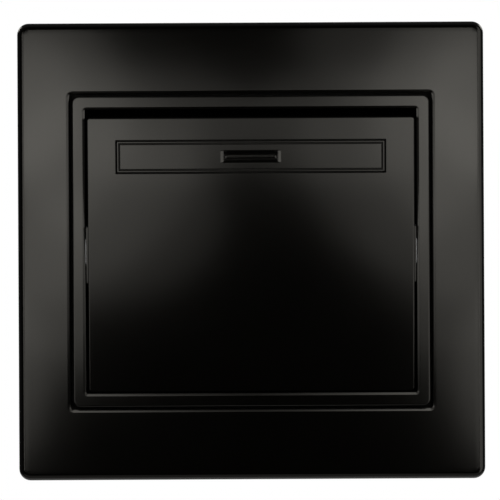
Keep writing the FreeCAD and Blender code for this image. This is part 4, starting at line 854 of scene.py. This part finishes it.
def rocker_key():
    """Hollow key with flared walls, its label strip's recess, pivot pads, ribs and snap legs."""
    bm = bmesh.new()
    foot = [length + 2 * flare for length, flare in zip(KEY, (KEY_FLARE / 2, KEY_FLARE))]
    rings = [ring(foot, KEY_CORNER, KEY_BACK)]
    for inset, drop in quarter_round(KEY_ROUND):
        share = drop / (KEY_BACK - KEY_FRONT)
        size = [edge + share * (wide - edge) for edge, wide in zip(KEY, foot)]
        rings.append(grown_ring(size, KEY_CORNER, -inset, KEY_FRONT + drop))
    centre = (0, STRIP_Z)
    for inset, drop in reversed(quarter_round(TINY_ROUND, TINY_STEPS)):
        rings.append(grown_ring(RECESS, RECESS_CORNER, inset, KEY_FRONT + drop, centre))
    rings.append(ring(RECESS, RECESS_CORNER, KEY_FRONT + RECESS_DEPTH, centre))
    for y in (KEY_FRONT + RECESS_DEPTH, KEY_FRONT + KEY_FACE):
        rings.append(ring(WINDOW, LEAST_CORNER, y, (0, STRIP_Z - BEAD_DROP)))
    hollow = [length - 2 * KEY_WALL for length in KEY]
    for y in (KEY_FRONT + KEY_FACE, KEY_BACK):
        rings.append(ring(hollow, KEY_CORNER, y))
    loft(bm, rings)
    for sign in (-1, 1):
        low, high = sorted((sign * (KEY[0] / 2 - PAD_ROOT), sign * (KEY[0] / 2 + PAD_PROUD)))
        block(bm, (low, KEY_FRONT + PAD_SET_BACK, -PAD_HEIGHT / 2),
              (high, KEY_BACK, PAD_HEIGHT / 2), PAD_BEVEL)
        low, high = sorted((sign * KEY_RIB[0], sign * KEY_RIB[1]))
        block(bm, (low, KEY_FRONT + KEY_FACE - INTO, -KEY_RIB_HALF), (high, KEY_RIB_BACK, KEY_RIB_HALF))
        for up in (-1, 1):
            key_leg(bm, sign * KEY_LEG_X, up)
    key = piece("key_shell", bm, turned=True)
    matt_floor(key, KEY_FRONT + RECESS_DEPTH, (0, STRIP_Z), RECESS)
    return key


def matt_floor(obj, depth, centre, size):
    """Leave matt the rocker's faces that lie at one depth, inside a box round a centre."""
    back = rest_turn().inverted()

    def on_floor(middle):
        x, y, z = back @ middle
        level = abs(y - depth) < LEVEL
        return level and abs(x - centre[0]) < size[0] / 2 and abs(z - centre[1]) < size[1] / 2

    set_matt(obj, on_floor)


def key_leg(bm, x, up):
    """Snap leg behind the key's face, with a hook for the cradle's edge."""
    x0, x1 = x - KEY_LEG_HALF, x + KEY_LEG_HALF
    low, high = sorted((up * KEY_LEG_Z[0], up * KEY_LEG_Z[1]))
    block(bm, (x0, KEY_FRONT + KEY_FACE - INTO, low), (x1, KEY_LEG_END, high), KEY_LEG_BEVEL)
    low, high = sorted((up * (KEY_LEG_Z[0] - KEY_HOOK), up * (KEY_LEG_Z[0] + KEY_HOOK_ROOT)))
    block(bm, (x0, KEY_HOOK_FRONT, low), (x1, KEY_LEG_END, high), KEY_HOOK_BEVEL)


def label_strip():
    """Strip insert: outer rim, groove, flat middle and a slot for the window with sloped ends."""
    bm = bmesh.new()
    centre = (0, STRIP_Z)
    rings = [ring(STRIP, RECESS_CORNER, KEY_FRONT + STRIP_DEPTH, centre)]
    rim_front = KEY_FRONT + RIM_SET_BACK
    for inset, drop in quarter_round(TINY_ROUND, TINY_STEPS):
        rings.append(grown_ring(STRIP, RECESS_CORNER, -inset, rim_front + drop, centre))
    for inset, drop in reversed(quarter_round(TINY_ROUND, TINY_STEPS)):
        rings.append(grown_ring(STRIP, RECESS_CORNER, inset - RIM, rim_front + drop, centre))
    for offset in (-RIM, -RIM - GROOVE):
        rings.append(grown_ring(STRIP, RECESS_CORNER, offset, KEY_FRONT + GROOVE_DEPTH, centre))
    for inset, drop in quarter_round(TINY_ROUND, TINY_STEPS):
        rings.append(grown_ring(STRIP, RECESS_CORNER, -RIM - GROOVE - inset, KEY_FRONT + drop, centre))
    for inset, drop in reversed(quarter_round(TINY_ROUND, TINY_STEPS)):
        rings.append(grown_ring(SLOT, LEAST_CORNER, inset, KEY_FRONT + drop, centre))
    for depth, across, up, lift in SLOT_STEPS:
        throat = (SLOT[0] - 2 * across, SLOT[1] - 2 * up)
        rings.append(ring(throat, LEAST_CORNER, KEY_FRONT + depth, (0, STRIP_Z + lift)))
    rings.append(ring(throat, LEAST_CORNER, KEY_FRONT + STRIP_DEPTH, centre))
    loft(bm, rings)
    plate = piece("strip_plate", bm, turned=True)
    matt_floor(plate, KEY_FRONT + GROOVE_DEPTH, centre, STRIP)
    return plate


def indicator_lens():
    """Light guide: ridged bead in the slot, on a sloped flange and a stem through the key's face."""
    bm = bmesh.new()
    centre = (0, STRIP_Z - BEAD_DROP)
    rings = [ring(BEAD, LEAST_CORNER, KEY_FRONT + LENS_END, centre)]
    for inset, drop in quarter_round(BEAD_ROUND, BEAD_STEPS):
        lifted = (0, centre[1] + BEAD_LIFT * inset)
        rings.append(grown_ring(BEAD, LEAST_CORNER, -inset, KEY_FRONT + BEAD_FRONT + drop, lifted))
    loft(bm, rings, closed=False)
    flange = [ring(FLANGE, LEAST_CORNER, KEY_FRONT + depth, (0, STRIP_Z))
              for depth in (STRIP_DEPTH, FLANGE_EDGE)]
    flange.append(ring(BEAD, LEAST_CORNER, KEY_FRONT + FLANGE_FRONT, centre))
    loft(bm, flange, closed=False)
    return piece("window_light_guide", bm, turned=True)


def show_part(obj, body, slot, *nodes):
    """Hang a finished piece on its body, in place of its CAD nodes."""
    if not obj.data.materials:
        obj.data.materials.append(MATERIALS[slot])
    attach(obj, body)
    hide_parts(*nodes)


def build_front():
    """The pieces seen from the front, with the frame's ribs grown behind its face."""
    shell = outer_frame()
    ribs = rib_points()
    sizes = [size for _, size in ribs]
    ribs = grown("decor_frame_ribs", ribs_tree(), [point for point, _ in ribs], "size", sizes,
                 material=MATERIALS["satin_black"])
    show_part(shell, BODY, "satin_black", "outer_frame")
    show_part(ribs, BODY, "satin_black")
    show_part(inner_bezel(), BODY, "satin_black", "inner_bezel")
    show_part(rocker_key(), ROCKER, "satin_black", "rocker_key")
    show_part(label_strip(), ROCKER, "satin_black", "label_strip")
    show_part(indicator_lens(), ROCKER, "smoked_lens", "indicator_lens")


def screw_places(size):
    """Where one kind of screw sits and which way its heads face."""
    ups = (-1, 1) if size["z"] else (0,)
    spots = [(x, up) for x in SIDES.values() for up in ups]
    points = [(x * size["x"] * MM, size["y"] * MM, up * size["z"] * MM) for x, up in spots]
    outward = [(0, 0, up) if size["upright"] else (0, -1, 0) for _, up in spots]
    return points, outward


def build_screws():
    """The three kinds of slotted screw, each grown on the points of its places."""
    tree = screws_tree()
    for node, size in SCREWS.items():
        points, outward = screw_places(size)
        lengths = {name: size[name] * MM for name in ("radius", "length", "head_radius", "head_height")}
        screws = grown(node + "_turned", tree, points, "outward", outward, slot=DRIVER_SLOT,
                       pitch=SCREW_PITCH, material=MATERIALS["zinc_steel"], **lengths)
        show_part(screws, BODY, "zinc_steel", node)


def dress_frame():
    """Give every CAD node that is still shown the material of its slot."""
    for part in frame["record"]["subparts"]:
        materials = frame["nodes"][part["node"]].data.materials
        materials.clear()
        materials.append(MATERIALS[part["material_slot"]])


def build_plunger_springs():
    """Copies of the plunger springs' coils, shown in place of their CAD nodes, with their places baked
    in.
    """
    for side in SIDES:
        node = f"plunger_spring_{side}"
        coil = linked(f"{node}_coil", frame["nodes"][node].data.copy())
        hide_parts(node)
        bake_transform(coil)


def oval_lamp(name, place, size, brightness, glossy=True, aimed=True):
    """An oval lamp of even brightness, square to the switch or aimed at it. It isn't seen itself."""
    data = bpy.data.lights.new(name, "AREA")
    data.shape, data.size, data.size_y = "ELLIPSE", size[0], size[1]
    data.energy = brightness * math.pi * (math.pi / 4 * size[0] * size[1])
    data.color = LAMP_COLOUR
    lamp = linked(name, data)
    lamp.location = place
    direction = -Vector(place) if aimed else Vector((0, 1, 0))
    lamp.rotation_euler = direction.to_track_quat("-Z", "Y").to_euler()
    lamp.visible_camera = False
    lamp.visible_glossy = glossy
    lamp.visible_transmission = glossy


def front_lamp(name, layer, x, z, width, height, brightness):
    """An oval lamp square to the switch. Each layer lies a little farther away, so that they add up."""
    place = (x * MM, LAMP_Y - layer * MM, z * MM)
    oval_lamp(name, place, (width * MM, height * MM), brightness, aimed=False)


def aimed_lamp(name, side, lamp, glossy=True):
    """An oval lamp that points at the switch, as its place says or mirrored to the left."""
    (x, y, z), size, brightness = lamp
    oval_lamp(name, (side * x, y, z), size, brightness, glossy)


def build_lights():
    """Overlapping ovals in front, then a broad fill and lamps behind, at the right rim and below."""
    for layer, (name, (x, *rest)) in enumerate(PAIRED_LAMPS.items()):
        for side in SIDES.values():
            front_lamp(name, layer, side * x, *rest)
    for layer, (name, lamp) in enumerate(SINGLE_LAMPS.items(), len(PAIRED_LAMPS)):
        front_lamp(name, layer, *lamp)
    for side in SIDES.values():
        aimed_lamp("fill", side, FILL, glossy=False)
        aimed_lamp("back_lamp", side, BACK_LAMP)
    aimed_lamp("right_rim_lamp", SIDES["right"], RIGHT_RIM_LAMP)
    aimed_lamp("under_lamp", SIDES["right"], UNDER_LAMP)


def build_world():
    """White behind the switch; for what it reflects, a dim studio that is bright only behind it."""
    world = bpy.data.worlds.new("studio")
    world.use_nodes = True
    bpy.context.scene.world = world
    nodes = Nodes(world.node_tree)
    background = next(n for n in nodes.tree.nodes if n.type == "BACKGROUND")
    direction = nodes.add("ShaderNodeTexCoord").outputs["Generated"]
    parts = nodes.add("ShaderNodeSeparateXYZ", {0: direction}).outputs
    behind = nodes.ramp(parts["Y"], low=0.85, high=0.98)
    above = nodes.ramp(parts["Z"], low=0.2, high=0.95)
    facing = nodes.ramp(parts["Y"], low=-0.75, high=-0.2)
    sides = nodes.math("MULTIPLY_ADD", above, STUDIO_ABOVE, STUDIO_SIDES)
    dim = nodes.math("MAXIMUM", behind, nodes.math("MULTIPLY", sides, facing))
    path = nodes.add("ShaderNodeLightPath").outputs
    soft = nodes.ramp(parts["Y"], low=-0.2, high=0.6)
    soft = nodes.math("MULTIPLY_ADD", soft, STUDIO_SOFT_BEHIND, STUDIO_SOFT)
    soft = nodes.math("MULTIPLY", soft, path["Is Diffuse Ray"])
    mirrored = nodes.math("MAXIMUM", path["Is Glossy Ray"], path["Is Transmission Ray"])
    level = nodes.math("ADD", soft, nodes.math("MULTIPLY", dim, mirrored))
    nodes.link(nodes.math("MAXIMUM", level, path["Is Camera Ray"]), background.inputs["Strength"])
    background.inputs["Color"].default_value = WHITE


def build_floor():
    """A plain pale floor well below the switch, lit up for the camera and faintly in reflections."""
    bm = bmesh.new()
    bmesh.ops.create_circle(bm, cap_ends=True, segments=FLOOR_SIDES, radius=FLOOR_RADIUS)
    bm.transform(Matrix.Translation((0, FLOOR_RADIUS - FLOOR_IN_FRONT, FLOOR_Z)))
    floor = piece("floor", bm)
    material, nodes, shader, where = start_material("pale_floor")
    cloud = nodes.noise(where, FLOOR_CLOUDS, detail=4.0, roughness=0.6)
    nodes.link(nodes.mix(cloud, *(grey(value) for value in FLOOR_GREYS)), shader.inputs["Base Color"])
    rough = nodes.math("MULTIPLY_ADD", cloud, FLOOR_ROUGHER, FLOOR_ROUGHNESS)
    nodes.link(rough, shader.inputs["Roughness"])
    path = nodes.add("ShaderNodeLightPath").outputs
    reflected = nodes.math("MAXIMUM", path["Is Glossy Ray"], path["Is Transmission Ray"])
    faint = nodes.math("MULTIPLY", reflected, FLOOR_REFLECTED)
    seen = nodes.math("MAXIMUM", path["Is Camera Ray"], faint)
    shader.inputs["Emission Color"].default_value = WHITE
    nodes.link(nodes.math("MULTIPLY", seen, FLOOR_GLOW), shader.inputs["Emission Strength"])
    floor.data.materials.append(material)


def build_camera():
    """The camera square on to the switch, at the photograph's scale and slight roll."""
    data = bpy.data.cameras.new("camera")
    data.sensor_width = SENSOR
    data.lens = SENSOR * CAMERA_DISTANCE / (IMAGE_PIXELS * PIXEL)
    data.clip_start, data.clip_end = CAMERA_CLIP
    camera = linked("camera", data)
    middle = IMAGE_PIXELS / 2
    across = (middle - OBJECT_CENTRE_PX[0]) * PIXEL
    up = (OBJECT_CENTRE_PX[1] - middle) * PIXEL
    camera.location = (across, FRAME_FRONT - CAMERA_DISTANCE, up)
    turn = Matrix.Rotation(math.pi / 2, 4, "X") @ Matrix.Rotation(-PHOTO_ROLL, 4, "Z")
    camera.rotation_euler = turn.to_euler()
    bpy.context.scene.camera = camera
    bpy.context.scene.view_settings.view_transform = "Standard"


dress_frame()
build_front()
build_screws()
build_plunger_springs()
build_world()
build_lights()
build_floor()
build_camera()
